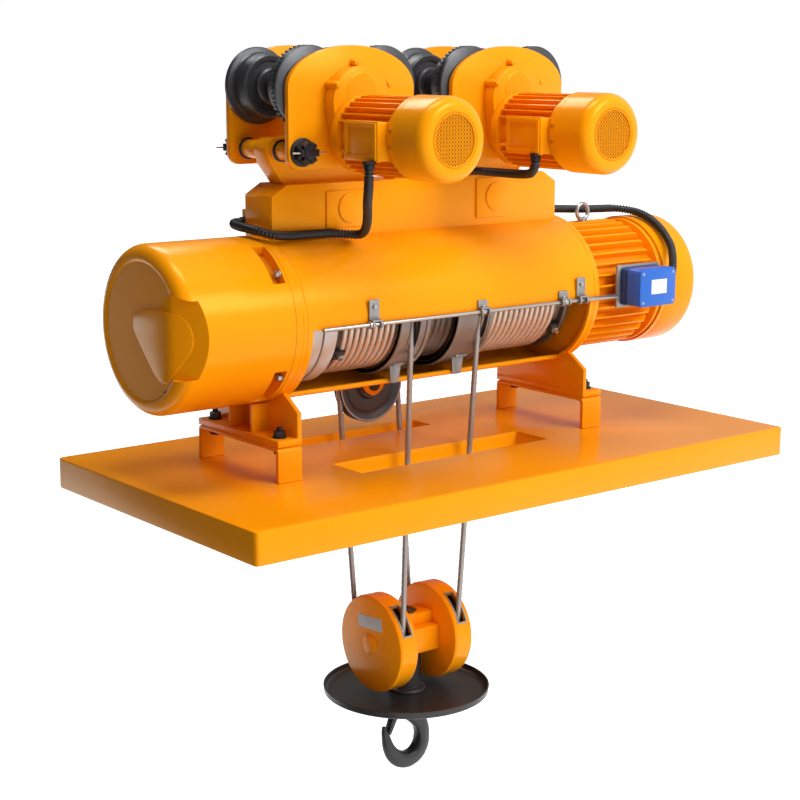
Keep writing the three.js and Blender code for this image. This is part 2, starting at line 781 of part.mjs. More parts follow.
function gearedWheel(x) {
  const bore = clearing(WHEEL.axle, 16);
  return turnY(
    [
      [-60, bore],
      [-60, WHEEL.gear],
      [-28, WHEEL.gear],
      [-24, WHEEL.tread],
      [10, WHEEL.tread - 2],
      [10, bore],
      [-60, bore],
    ],
    16,
    x,
    WHEEL.z,
  );
}

function plainWheel(x) {
  const bore = clearing(WHEEL.axle, 16);
  return turnY(
    [
      [90, bore],
      [90, 42],
      [98, WHEEL.tread - 2],
      [142, WHEEL.tread],
      [147, WHEEL.flange],
      [160, WHEEL.flange],
      [160, bore],
      [90, bore],
    ],
    16,
    x,
    WHEEL.z,
  );
}

// Bolt through both plates and the hanger, with its nuts and spacers.
function tieBolt(x) {
  const { bolt, spacer, nut, length } = TIE;
  const frontFace = FRONT_PLATE_Y;
  const backFace = BACK_PLATE_Y + TROLLEY.plate;
  const spacers = [
    [frontFace + TROLLEY.plate + GAP, HANGER.y0 - GAP],
    [HANGER.y1 + GAP, BACK_PLATE_Y - GAP],
  ];
  const profile = [[frontFace - length, 0], [frontFace - length, nut], [frontFace - GAP, nut]];
  profile.push([frontFace - GAP, bolt]);
  for (const [y0, y1] of spacers) {
    profile.push([y0, bolt], [y0, spacer], [y1, spacer], [y1, bolt]);
  }
  profile.push([backFace + GAP, bolt], [backFace + GAP, nut]);
  profile.push([backFace + length, nut], [backFace + length, 0]);
  return turnY(profile, 8, x, TIE.z);
}

// Gear cover on the front plate, motor body and terminal box, hollow for the gears and rotor.
function gearmotor(centre) {
  const { face, back, radius, wall } = TROLLEY_MOTOR;
  const { z: coverZ, radius: coverR, lower, room, roomZ } = GEAR_COVER;
  const { motorZ, shaft } = DRIVE;
  const cover = rodY(face, FRONT_PLATE_Y - GAP, coverR, 20, centre, coverZ);
  const rim = rodY(face, FRONT_PLATE_Y - GAP, lower, 20, centre, motorZ);
  const body = rodY(back + GAP, face + 4, radius, 20, centre, motorZ);
  const [near, far, ...rest] = TERMINAL_BOX;
  const terminals = box(centre + near, centre + far, ...rest);
  const gearRoom = rodY(face + wall, 0, room, 20, centre, roomZ);
  const pinionRoom = rodY(face + wall, 0, 24, 16, centre, motorZ);
  const passage = rodY(-200, 0, shaft, 12, centre, motorZ);
  const rotorRoom = rodY(back - OVERCUT, -136, 62, 20, centre, motorZ);
  return cut(join(cover, rim, body, terminals), gearRoom, pinionRoom, passage, rotorRoom);
}

function trolleyFanCover(centre) {
  const { cover, end, back } = TROLLEY_MOTOR;
  const wall = 4;
  const fillet = 22;
  return turnY(
    [
      [end, 0],
      [end, cover - fillet],
      [end + fillet * 0.29, cover - fillet * 0.29],
      [end + fillet, cover],
      [back, cover],
      [back, cover - wall],
      [end + fillet, cover - wall],
      [end + wall, cover - fillet],
      [end + wall, 0],
    ],
    18,
    centre,
    DRIVE.motorZ,
  );
}

function trolleyRotor(centre) {
  const { end } = TROLLEY_MOTOR;
  const small = DRIVE.small - GAP / 2;
  return turnY(
    [
      [end + 40, 0],
      [end + 40, 76],
      [end + 62, 76],
      [end + 62, 10],
      [-310, 10],
      [-310, 58],
      [-150, 58],
      [-150, 10],
      [-104, 10],
      [-104, small],
      [-86, small],
      [-86, 0],
    ],
    12,
    centre,
    DRIVE.motorZ,
  );
}

// The gear in the cover and the pinion between the two geared wheels, on one short shaft.
function drivePinion(centre) {
  const gear = DRIVE.gear - GAP / 2;
  const pinion = DRIVE.pinion - GAP / 2;
  return turnY(
    [
      [-104, 0],
      [-104, gear],
      [-86, gear],
      [-86, DRIVE.shaft],
      [-60, DRIVE.shaft],
      [-60, pinion],
      [-30, pinion],
      [-30, 0],
    ],
    18,
    centre,
    DRIVE.pinionZ,
  );
}

// ---------------------------------------------------------------- conduits

const CONDUIT_R = 11;
const CONDUITS = {
  conduit_left_trolley: [
    [-452, -306, 821.4], [-452, -305, 790], [-440, -288, 760], [-415, -252, 728], [-375, -200, 697],
    [-335, -146, 668], [-306, -98, 644], [-296, -66, 633], [-310, -42, 632], [-350, -27, 636],
    [-410, -25, 637], [-470, -25, 637], [-512, -24, 641], [-537, -6, 648], [-549, 28, 654],
    [-549, 66, 656], [-541, 100, 658], [-522, 124, 659], [-502, 129, 659], [-486.4, 129, 659],
  ],
  conduit_right_trolley: [
    [48, -304, 821.4], [48, -303, 797], [60, -280, 778], [82, -240, 770], [98, -180, 766],
    [96, -110, 766], [70, -50, 768], [20, -18, 770], [-30, 8, 772], [-60, 22, 772],
    [-74, 23, 772], [-85.5, 23, 772],
  ],
  conduit_motor: [
    [402, 93, 642], [450, 92, 643], [510, 92, 640], [580, 88, 636], [650, 80, 634],
    [700, 66, 633], [728, 30, 628], [738, -20, 614], [738, -74, 584], [732, -116, 545],
    [714, -142, 515], [698, -158, 490], [684, -168, 474], [668, -172, 466],
  ],
};

function conduit(points) {
  const curve = new THREE.CatmullRomCurve3(
    points.map((point) => new THREE.Vector3(...point)),
    false,
    "centripetal",
  );
  return tube(curve, 18, CONDUIT_R, 8);
}

// ---------------------------------------------------------------- assembly

add("base_plate", basePlate(), paint);
add("leg_left", portalLeg(LEG_LEFT_X), paint);
add("leg_right", portalLeg(LEG_RIGHT_X), paint);
add("foot_left", foot(LEG_LEFT_X, LEG_LEFT_X + LEG.width - FOOT.web), paint);
add("foot_right", foot(LEG_RIGHT_X, LEG_RIGHT_X), paint);

add("drum_shell", drumShell(), paint);
add("gearbox_bulkhead", bulkhead(), paint);
add("gearbox_cover", gearCase(), paint);
add("motor_flange", motorFlange(), paint);
add("motor_housing", motorHousing(), paint);
const fanCover = cupX(
  MOTOR.x1, FAN_COVER.x1, FAN_COVER.radius, FAN_COVER.wall, FAN_COVER.fillet, 28,
);
add("motor_fan_cover", fanCover, paint);
add("lifting_eye", liftingEye(), brightSteel);
add("limit_switch_box", controlBox(), bluePlastic);
add("suspension_saddle", saddle(), paint);

add("drum", drum(), drumSteel);
add("rope_winding_left", winding(WINDING_LEFT), brightSteel);
add("rope_winding_right", winding(WINDING_RIGHT), brightSteel);
add("rope_guide_left", ropeGuide(GUIDE_LEFT, GUIDE_TAIL_LEFT, ROPE_EXIT_LEFT), drumSteel);
add("rope_guide_right", ropeGuide(GUIDE_RIGHT, GUIDE_TAIL_RIGHT, ROPE_EXIT_RIGHT), drumSteel);
add("limit_rod", limitRod(), brightSteel);
add("motor_rotor", motorRotor(), brightSteel);
add("intermediate_gear", intermediateGear(), darkSteel);

add("equalizer_bracket", equalizerBracket(), paint);
add("equalizer_sheave", equalizerSheave(), darkSteel);
add("rope_falls", ropeFalls(), brightSteel);

add("crosshead", crosshead(), paint);
[-1, 1].forEach((side, n) => {
  const plane = BLOCK.x + side * BLOCK.offset;
  add(`hook_casing_${TROLLEY_NAMES[n]}`, casing(plane), paint);
  add(`hook_sheave_${TROLLEY_NAMES[n]}`, blockSheave(plane), darkSteel);
});
add("hook_tray", tray(), hookSteel);
add("hook", hook(), hookSteel);
add("hook_latch", hookLatch(), hookSteel);

TROLLEY_X.forEach((centre, n) => {
  const side = TROLLEY_NAMES[n];
  add(`${side}_trolley_front_plate`, frontPlate(centre), paint);
  add(`${side}_trolley_back_plate`, backPlate(centre), paint);
  [-1, 1].forEach((end, m) => {
    const x = centre + end * WHEEL.x;
    add(`${side}_trolley_geared_wheel_${m + 1}`, gearedWheel(x), darkSteel);
    add(`${side}_trolley_plain_wheel_${m + 1}`, plainWheel(x), darkSteel);
    add(`${side}_trolley_tie_bolt_${m + 1}`, tieBolt(centre + end * TIE.x), darkSteel);
  });
  add(`${side}_trolley_gearmotor`, gearmotor(centre), paint);
  add(`${side}_trolley_fan_cover`, trolleyFanCover(centre), paint);
  add(`${side}_trolley_rotor`, trolleyRotor(centre), brightSteel);
  add(`${side}_trolley_drive_pinion`, drivePinion(centre), darkSteel);
});

Object.entries(CONDUITS).forEach(([name, points]) => add(name, conduit(points), blackRubber));

export default hoist;
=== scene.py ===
import json
import math

import bmesh
import bpy
from mathutils import Matrix, Vector


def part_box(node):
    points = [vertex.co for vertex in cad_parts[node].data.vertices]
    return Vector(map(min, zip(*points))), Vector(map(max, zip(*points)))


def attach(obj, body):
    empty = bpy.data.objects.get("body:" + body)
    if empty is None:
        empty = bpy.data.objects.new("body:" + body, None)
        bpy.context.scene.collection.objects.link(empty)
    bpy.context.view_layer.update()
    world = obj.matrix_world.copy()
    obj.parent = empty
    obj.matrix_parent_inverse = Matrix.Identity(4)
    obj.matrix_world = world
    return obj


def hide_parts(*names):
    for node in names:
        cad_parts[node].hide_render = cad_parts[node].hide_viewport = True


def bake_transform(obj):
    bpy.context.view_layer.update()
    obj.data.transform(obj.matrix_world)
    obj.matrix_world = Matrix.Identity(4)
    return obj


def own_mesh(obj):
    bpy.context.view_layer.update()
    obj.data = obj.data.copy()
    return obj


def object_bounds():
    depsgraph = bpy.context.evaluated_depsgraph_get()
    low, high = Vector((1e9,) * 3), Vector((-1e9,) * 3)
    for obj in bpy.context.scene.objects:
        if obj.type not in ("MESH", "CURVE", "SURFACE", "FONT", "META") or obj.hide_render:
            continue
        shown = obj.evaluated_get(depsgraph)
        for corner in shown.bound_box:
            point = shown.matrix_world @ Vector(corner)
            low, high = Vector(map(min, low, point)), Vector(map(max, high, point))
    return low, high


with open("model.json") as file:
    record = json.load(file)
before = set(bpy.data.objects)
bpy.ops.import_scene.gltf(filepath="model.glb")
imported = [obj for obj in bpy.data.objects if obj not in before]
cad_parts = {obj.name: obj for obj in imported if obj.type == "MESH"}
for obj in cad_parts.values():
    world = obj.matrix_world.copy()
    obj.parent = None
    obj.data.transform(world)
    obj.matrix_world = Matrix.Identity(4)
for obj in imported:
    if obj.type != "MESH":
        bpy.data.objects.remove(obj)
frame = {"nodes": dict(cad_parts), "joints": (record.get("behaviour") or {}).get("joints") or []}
cad_low, cad_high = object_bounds()
JOINT = {joint["name"]: joint for joint in frame["joints"]}
SIDES = ("left", "right")

# Shapes are drawn in millimetres in the row frame, and piece() scales them to metres.
MM = 0.001


def span(node):
    """A CAD node's lowest and highest corners in millimetres."""
    low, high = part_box(node)
    return low / MM, high / MM


def middle(node, axes):
    """Halfway between a CAD node's corners, along each of the axes."""
    low, high = span(node)
    return tuple((getattr(low, axis) + getattr(high, axis)) / 2 for axis in axes)


# ---------------------------------------------------------------- camera

FOCAL = 77.9
EYE = Vector((-2.7883, -3.3337, 1.0556))
YAW, PITCH, ROLL = (math.radians(angle) for angle in (38.693, 11.337, 0.186))


def make_camera():
    forward = Vector((math.sin(YAW) * math.cos(PITCH), math.cos(YAW) * math.cos(PITCH),
                      -math.sin(PITCH)))
    level = Vector((math.cos(YAW), -math.sin(YAW), 0.0))
    up = level.cross(forward)
    right = math.cos(ROLL) * level + math.sin(ROLL) * up
    up = right.cross(forward)
    data = bpy.data.cameras.new("camera")
    data.lens = FOCAL
    data.sensor_width = 36.0
    data.clip_end = 200.0
    camera = bpy.data.objects.new("camera", data)
    turn = Matrix((right, up, -forward)).transposed().to_4x4()
    camera.matrix_world = Matrix.Translation(EYE) @ turn
    bpy.context.scene.collection.objects.link(camera)
    bpy.context.scene.camera = camera


make_camera()

# ---------------------------------------------------------------- materials


def shader_node(tree, kind, feeds=(), values=(), **settings):
    """A new node with its settings, its inputs' values and the outputs that feed its inputs."""
    made = tree.nodes.new("ShaderNode" + kind)
    for name, value in settings.items():
        setattr(made, name, value)
    for name, value in dict(values).items():
        made.inputs[name].default_value = value
    for name, output in dict(feeds).items():
        tree.links.new(output, made.inputs[name])
    return made


def look(name, colour, other, roughness, metallic=0.0, patch=6.0, grain=900.0, bump=0.03,
         tint=(1, 1, 1)):
    """A surface whose colour drifts between two shades, with a slight grain and uneven gloss."""
    mat = bpy.data.materials.new(name)
    mat.use_nodes = True
    tree = mat.node_tree
    place = shader_node(tree, "TexCoord").outputs["Object"]
    cloud = shader_node(tree, "TexNoise", {"Vector": place},
                        {"Scale": patch, "Detail": 5.0}).outputs["Fac"]
    shades = {"A": (*colour, 1.0), "B": (*other, 1.0)}
    shade = shader_node(tree, "Mix", {"Factor": cloud}, shades, data_type="RGBA")
    spread = {"To Min": roughness * 0.75, "To Max": roughness * 1.3}
    gloss = shader_node(tree, "MapRange", {"Value": cloud}, spread)
    dust = shader_node(tree, "TexNoise", {"Vector": place}, {"Scale": grain, "Detail": 2.0})
    depth = {"Strength": bump, "Distance": 0.001}
    relief = shader_node(tree, "Bump", {"Height": dust.outputs["Fac"]}, depth)
    shader = tree.nodes["Principled BSDF"]
    shader.inputs["Metallic"].default_value = metallic
    shader.inputs["Specular Tint"].default_value = (*tint, 1.0)
    tree.links.new(shade.outputs["Result"], shader.inputs["Base Color"])
    tree.links.new(gloss.outputs["Result"], shader.inputs["Roughness"])
    tree.links.new(relief.outputs["Normal"], shader.inputs["Normal"])
    return mat


WARM = (1.0, 0.62, 0.12)
PAINT = look("paint_orange", (0.96, 0.335, 0.003), (0.92, 0.30, 0.002), 0.22, patch=3.0,
             grain=500.0, tint=WARM)
# A darker copy of the orange paint: painted shade in the gear case's notch pockets, and also the
# seam's dark joint line and the fan cover screws.
PAINT_SHADE_AND_SEAM = look("paint_orange_shade_and_seam", (0.62, 0.19, 0.003), (0.55, 0.16, 0.002), 0.35, patch=4.0,
                  tint=WARM)
WHEEL_STEEL = look("steel_wheel", (0.050, 0.052, 0.058), (0.085, 0.086, 0.092), 0.34, 0.55,
                   patch=14.0, bump=0.08)
BLACK_STEEL = look("steel_black", (0.018, 0.017, 0.018), (0.034, 0.032, 0.034), 0.4, 0.5,
                   patch=20.0)
BRIGHT_STEEL = look("steel_bright", (0.50, 0.48, 0.45), (0.36, 0.35, 0.34), 0.3, 0.9, patch=25.0)
# The wound rope's steel, brighter and more orange than the falls' rope: a painted reflection of the
# orange paint around it.
ROPE_PAINTED_REFLECTION = look("steel_rope", (0.76, 0.62, 0.51), (0.60, 0.48, 0.40), 0.4, 0.6, patch=60.0)
FALL_STEEL = look("steel_rope_fall", (0.42, 0.385, 0.365), (0.31, 0.28, 0.265), 0.4, 0.6,
                  patch=60.0)
DRUM_STEEL = look("steel_drum", (0.20, 0.165, 0.14), (0.12, 0.10, 0.085), 0.38, 0.6, patch=30.0,
                  bump=0.1)
GUIDE_STEEL = look("steel_guide", (0.30, 0.26, 0.235), (0.19, 0.165, 0.15), 0.4, 0.6, patch=18.0,
                   bump=0.1)
COLLAR_STEEL = look("steel_collar", (0.60, 0.56, 0.53), (0.48, 0.44, 0.42), 0.35, 0.5, patch=12.0,
                    bump=0.1)
TAB_STEEL = look("steel_tab", (0.36, 0.35, 0.34), (0.26, 0.26, 0.26), 0.4, 0.6, patch=40.0)
HOOK_STEEL = look("steel_hook", (0.030, 0.029, 0.031), (0.048, 0.046, 0.048), 0.36, 0.35,
                  patch=16.0, bump=0.12)
RUBBER = look("rubber_black", (0.006, 0.006, 0.007), (0.012, 0.012, 0.013), 0.42, patch=40.0)
BLUE = look("plastic_blue", (0.010, 0.135, 0.60), (0.008, 0.110, 0.52), 0.3, patch=9.0)
BLUE_DARK = look("plastic_blue_dark", (0.012, 0.045, 0.16), (0.010, 0.038, 0.13), 0.35, patch=9.0)
LABEL = look("label_blank", (0.50, 0.53, 0.55), (0.42, 0.46, 0.49), 0.45, patch=30.0)
LABEL_WHITE = look("label_white", (0.86, 0.86, 0.87), (0.80, 0.80, 0.82), 0.5, patch=30.0)
# A dark sheet of painted shade for the inside of the fan covers, behind their grilles.
SHADOW = look("recess_painted_shade", (0.030, 0.011, 0.002), (0.020, 0.008, 0.002), 0.7, patch=12.0)

# ---------------------------------------------------------------- shapes


def at(axis, along, u, v):
    """The point at a distance along an axis, with the two other coordinates in X, Y, Z order."""
    if axis == "X":
        return Vector((along, u, v))
    if axis == "Y":
        return Vector((u, along, v))
    return Vector((u, v, along))


def polar(centre, radius, t):
    """The point at a distance from a centre, at an angle in radians."""
    return centre[0] + radius * math.cos(t), centre[1] + radius * math.sin(t)


def arc(centre, radius, start, end, steps):
    """Points on an arc, with its angles in degrees."""
    turns = [math.radians(start + (end - start) * k / steps) for k in range(steps + 1)]
    return [polar(centre, radius, t) for t in turns]


def circle(centre, radius, steps=40):
    return arc(centre, radius, 0, 360, steps)[:-1]


def rectangle(u0, u1, v0, v1):
    return [(u0, v0), (u1, v0), (u1, v1), (u0, v1)]


def soften(points, radius, steps=3, closed=False):
    """The same line with every corner rounded off."""
    pts = [Vector(p) for p in points]
    count = len(pts)
    result = []
    for i, p in enumerate(pts):
        if not closed and i in (0, count - 1):
            result.append(p)
            continue
        before, after = pts[i - 1], pts[(i + 1) % count]
        cut = min(radius, 0.45 * (p - before).length, 0.45 * (after - p).length)
        first = p + (before - p).normalized() * cut
        last = p + (after - p).normalized() * cut
        for k in range(steps + 1):
            t = k / steps
            result.append(first * (1 - t) ** 2 + p * 2 * t * (1 - t) + last * t * t)
    return [tuple(p) for p in result]


def tidy(bm):
    """The same solid without doubled points, its faces turned outwards."""
    bmesh.ops.remove_doubles(bm, verts=bm.verts, dist=1e-3)
    bmesh.ops.recalc_face_normals(bm, faces=bm.faces)
    return bm


def moved(bm, matrix):
    bmesh.ops.transform(bm, matrix=matrix, verts=bm.verts)
    return bm


def turned(axis, degrees_round, spot=(0, 0, 0)):
    """The matrix that turns about an axis and then moves to a spot."""
    return Matrix.Translation(spot) @ Matrix.Rotation(math.radians(degrees_round), 4, axis)


def skin(bm, rings):
    """Faces between closed rings that have the same number of points."""
    for a, b in zip(rings, rings[1:]):
        for k in range(len(a)):
            n = (k + 1) % len(a)
            bm.faces.new((a[k], a[n], b[n], b[k]))


def capped(bm, rings):
    """The same, with both ends closed."""
    skin(bm, rings)
    bm.faces.new(rings[0])
    bm.faces.new(rings[-1])
    return bm


def lathe(profile, axis, centre, segments=96, start=0.0):
    """A turned solid; its profile's points are (along, radius)."""
    bm = bmesh.new()
    rings = []
    for along, radius in profile:
        turns = range(segments) if radius > 1e-6 else [0]
        ring = []
        for k in turns:
            t = math.radians(start) + 2 * math.pi * k / segments
            ring.append(bm.verts.new(at(axis, along, *polar(centre, radius, t))))
        rings.append(ring)
    for a, b in zip(rings, rings[1:]):
        for k in range(segments):
            n = (k + 1) % segments
            quad = [a[k % len(a)], a[n % len(a)], b[n % len(b)], b[k % len(b)]]
            corners = list(dict.fromkeys(quad))
            if len(corners) > 2:
                bm.faces.new(corners)
    return tidy(bm)


def rounded_end(end, radius, fillet, way):
    """The quarter turn on a cap's profile, from its flat end out to its side."""
    turns = [math.radians(a) for a in range(0, 91, 9)]
    return [(end + way * (fillet - fillet * math.cos(t)), radius - fillet + fillet * math.sin(t))
            for t in turns]


def rod(axis, low, high, radius, centre, segments=32, edge=1.0):
    profile = soften([(low, 0), (low, radius), (high, radius), (high, 0)], edge, 2)
    return lathe(profile, axis, centre, segments)


def tube(axis, low, high, inner, outer, centre, segments=64, edge=1.0):
    loop = soften([(low, inner), (low, outer), (high, outer), (high, inner)], edge, 2, closed=True)
    return lathe([*loop, loop[0]], axis, centre, segments)


def evaluated(obj):
    """A new mesh of an object, with its curve filled or its modifiers applied."""
    bpy.context.view_layer.update()
    graph = bpy.context.evaluated_depsgraph_get()
    return bpy.data.meshes.new_from_object(obj.evaluated_get(graph))


def prism(outline, axis, low, high, bevel=1.0, holes=()):
    """An outline in the two other coordinates, filled and given a thickness along an axis."""
    curve = bpy.data.curves.new("outline", "CURVE")
    curve.dimensions = "2D"
    curve.fill_mode = "BOTH"
    curve.extrude = (high - low) / 2 - bevel
    curve.bevel_depth = bevel
    curve.bevel_resolution = 1
    curve.offset = -bevel
    for ring in (outline, *holes):
        spline = curve.splines.new("POLY")
        spline.points.add(len(ring) - 1)
        for point, (u, v) in zip(spline.points, ring):
            point.co = (u, v, 0, 1)
        spline.use_cyclic_u = True
    holder = bpy.data.objects.new("outline", curve)
    bpy.context.scene.collection.objects.link(holder)
    mesh = evaluated(holder)
    bm = bmesh.new()
    bm.from_mesh(mesh)
    bpy.data.objects.remove(holder)
    bpy.data.meshes.remove(mesh)
    bpy.data.curves.remove(curve)
    centre = (low + high) / 2
    for vert in bm.verts:
        vert.co = at(axis, centre + vert.co.z, vert.co.x, vert.co.y)
    return tidy(bm)


def block(low, high, bevel=1.0, segments=2):
    """A box with rounded edges."""
    bm = bmesh.new()
    bmesh.ops.create_cube(bm, size=1.0)
    size = Vector(high) - Vector(low)
    bmesh.ops.scale(bm, vec=size, verts=bm.verts)
    bmesh.ops.translate(bm, vec=Vector(low) + size / 2, verts=bm.verts)
    bmesh.ops.bevel(bm, geom=bm.edges[:], offset=bevel, segments=segments, profile=0.5,
                    affect="EDGES")
    return tidy(bm)


def rolled(alongs, angles, radius, wall, axis, centre, skip=()):
    """A bent plate on a cylinder, without the cells that lie in a (low, high, from, to) window."""
    bm = bmesh.new()
    whole = abs(angles[-1] - angles[0] - 360) < 1e-6
    turns = [math.radians(a) for a in (angles[:-1] if whole else angles)]
    grid = [[bm.verts.new(at(axis, x, *polar(centre, radius, t))) for t in turns] for x in alongs]
    for i in range(len(alongs) - 1):
        for k in range(len(angles) - 1):
            x, a = (alongs[i] + alongs[i + 1]) / 2, (angles[k] + angles[k + 1]) / 2
            if any(w[0] < x < w[1] and w[2] < a < w[3] for w in skip):
                continue
            n = (k + 1) % len(turns)
            bm.faces.new((grid[i][k], grid[i][n], grid[i + 1][n], grid[i + 1][k]))
    loose = [v for v in bm.verts if not v.link_faces]
    bmesh.ops.delete(bm, geom=loose, context="VERTS")
    made = bmesh.ops.extrude_face_region(bm, geom=bm.faces[:])["geom"]
    for vert in (g for g in made if isinstance(g, bmesh.types.BMVert)):
        spine = at(axis, vert.co["XYZ".index(axis)], *centre)
        vert.co += (spine - vert.co).normalized() * wall
    bmesh.ops.recalc_face_normals(bm, faces=bm.faces)
    return bm


def degrees(step, *extra):
    """Angles round a whole turn, with some of their own."""
    return sorted({float(a) for a in range(0, 361, step)} | set(extra))


def catmull(points, per_span):
    """The centripetal Catmull-Rom curve through points, as its own points."""
    pts = [Vector(p) for p in points]
    pts = [pts[0] * 2 - pts[1], *pts, pts[-1] * 2 - pts[-2]]
    line = []
    for p0, p1, p2, p3 in zip(pts, pts[1:], pts[2:], pts[3:]):
        t1 = (p1 - p0).length ** 0.5
        t2 = t1 + (p2 - p1).length ** 0.5
        t3 = t2 + (p3 - p2).length ** 0.5
        for k in range(per_span):
            t = t1 + (t2 - t1) * k / per_span
            a1 = p0 * ((t1 - t) / t1) + p1 * (t / t1)
            a2 = p1 * ((t2 - t) / (t2 - t1)) + p2 * ((t - t1) / (t2 - t1))
            a3 = p2 * ((t3 - t) / (t3 - t2)) + p3 * ((t - t2) / (t3 - t2))
            b1 = a1 * ((t2 - t) / t2) + a2 * (t / t2)
            b2 = a2 * ((t3 - t) / (t3 - t1)) + a3 * ((t - t1) / (t3 - t1))
            line.append(b1 * ((t2 - t) / (t2 - t1)) + b2 * ((t - t1) / (t2 - t1)))
    line.append(pts[-2])
    return line


def respaced(line, step):
    """Points at even steps along a line."""
    lengths = [0.0]
    for a, b in zip(line, line[1:]):
        lengths.append(lengths[-1] + (b - a).length)
    count = max(2, round(lengths[-1] / step))
    result, i = [], 0
    for k in range(count + 1):
        want = lengths[-1] * k / count
        while i < len(line) - 2 and lengths[i + 1] < want:
            i += 1
        share = (want - lengths[i]) / max(lengths[i + 1] - lengths[i], 1e-9)
        result.append(line[i].lerp(line[i + 1], share))
    return result


def swept(path, section):
    """A closed tube along a path; section(i, distance) gives its points as (across, over)."""
    bm = bmesh.new()
    tangents = []
    for i in range(len(path)):
        ahead = path[min(i + 1, len(path) - 1)] - path[max(i - 1, 0)]
        tangents.append(ahead.normalized())
    side = tangents[0].orthogonal().normalized()
    rings, distance = [], 0.0
    for i, (point, tangent) in enumerate(zip(path, tangents)):
        side = (side - tangent * side.dot(tangent)).normalized()
        over = tangent.cross(side)
        if i:
            distance += (point - path[i - 1]).length
        rings.append([bm.verts.new(point + side * u + over * v) for u, v in section(i, distance)])
    bmesh.ops.recalc_face_normals(capped(bm, rings), faces=bm.faces)
    return bm


ROPE_R = 7.5
ROPE_LAY = 105.0
STRANDS = 6


def rope(path, step=7.0):
    """Twisted strands along a path."""
    def section(_, distance):
        points = []
        for k in range(STRANDS * 2):
            turn = 2 * math.pi * (distance / ROPE_LAY + k / (STRANDS * 2))
            points.append(polar((0, 0), ROPE_R * (0.92 if k % 2 else 1.0), turn))
        return points

    return swept(respaced(path, step), section)


def cogs(teeth, root, tip, centre, turn=0.0):
    """A toothed outline, with the middle of a tooth at the given angle."""
    pitch = 360 / teeth
    points = []
    for k in range(teeth):
        for radius, share in ((root, -0.3), (tip, -0.14), (tip, 0.14), (root, 0.3)):
            points += arc(centre, radius, pitch * (k + share) + turn, 0, 1)[:1]
    return points


def meshed(teeth, centre, other_teeth, other_centre):
    """The turn that puts a gear's teeth between those of another one drawn without a turn."""
    away = math.degrees(math.atan2(other_centre[1] - centre[1], other_centre[0] - centre[0]))
    share = (away + 180) * other_teeth / 360
    return away - (0.5 - share) * 360 / teeth


def hexagon(axis, low, high, across, centre, outer_end="high"):
    """A hexagonal head or nut with a chamfered outer end."""
    radius = across / math.sqrt(3)
    drop = 0.12 * across
    profile = [(low, 0), (low, radius), (high - drop * 0.5, radius), (high, radius - drop),
               (high, 0)]
    if outer_end == "low":
        profile = [(low, 0), (low, radius - drop), (low + drop * 0.5, radius), (high, radius),
                   (high, 0)]
    return lathe(profile, axis, centre, 6, 30)


def piece(name, parts, surface, body, replaces=(), sharp=32, bevel=0.0, blend=None):
    """One visible piece from shapes in millimetres, on its body and in its material."""
    whole = bmesh.new()
    for part in parts:
        scratch = bpy.data.meshes.new("scratch")
        part.to_mesh(scratch)
        whole.from_mesh(scratch)
        part.free()
        bpy.data.meshes.remove(scratch)
    bmesh.ops.scale(whole, vec=(MM, MM, MM), verts=whole.verts)
    mesh = bpy.data.meshes.new(name)
    whole.to_mesh(mesh)
    whole.free()
    mesh.shade_smooth()
    mesh.set_sharp_from_angle(angle=math.radians(sharp))
    mesh.materials.append(surface)
    obj = bpy.data.objects.new(name, mesh)
    bpy.context.scene.collection.objects.link(obj)
    if bevel:
        edge = obj.modifiers.new("edge", "BEVEL")
        edge.width = bevel * MM
        edge.segments = 2
        edge.limit_method = "ANGLE"
        edge.angle_limit = math.radians(40)
        edge.harden_normals = True
    if blend:
        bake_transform(obj)
    else:
        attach(obj, body)
    if replaces:
        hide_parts(*replaces)
    return obj


# ---------------------------------------------------------------- places taken from the frame

base_low, base_high = span("base_plate")
case_low, case_high = span("gearbox_cover")
shell_low, shell_high = span("drum_shell")
flange_low, flange_high = span("motor_flange")
fins_low, fins_high = span("motor_housing")
fan_low, fan_high = span("motor_fan_cover")
drum_low, drum_high = span("drum")
saddle_low = span("suspension_saddle")[0]
tray_low, tray_high = span("hook_tray")
hook_low, hook_high = span("hook")

# The drum's axis (Y, Z), the shell's outer radius and its frontmost Y.
AXIS = middle("gearbox_cover", "yz")
SHELL_R = (case_high.y - case_low.y) / 2
FRONT = AXIS[0] - SHELL_R

# ---------------------------------------------------------------- base plate, legs and feet

FRONT_SLOT = (-354, 250, -151, -34)
REAR_SLOT = (-350, 125, 171, 244)


def build_base():
    corner = soften(rectangle(base_low.x, base_high.x, base_low.y, base_high.y), 14, 4, closed=True)
    slots = [rectangle(*FRONT_SLOT), rectangle(*REAR_SLOT)]
    plate = prism(corner, "Z", base_low.z, base_high.z, 4.0, slots)
    piece("base", [plate], PAINT, "frame", ["base_plate"])


def build_leg(side):
    low, high = span(f"leg_{side}")
    plate, bend = 10, 15
    outer = [(low.y, low.z), (low.y, high.z), (high.y, high.z), (high.y, low.z)]
    inner = [(high.y - plate, low.z), (high.y - plate, high.z - plate),
             (low.y + plate, high.z - plate)]
    inner.append((low.y + plate, low.z))
    line = soften(outer, bend, 5) + soften(inner, bend - plate + 3, 4)
    piece(f"leg_{side}_strip", [prism(line, "X", low.x, high.x, 1.5)], PAINT, "frame",
          [f"leg_{side}"])
    seam = 4
    welds = [
        block((low.x, y, low.z), (high.x, y + seam, low.z + seam), 1.8)
        for y in (low.y - seam + 1, low.y + plate - 1, high.y - plate - seam + 1, high.y - 1)
    ]
    piece(f"leg_{side}_welds", welds, PAINT, "frame")


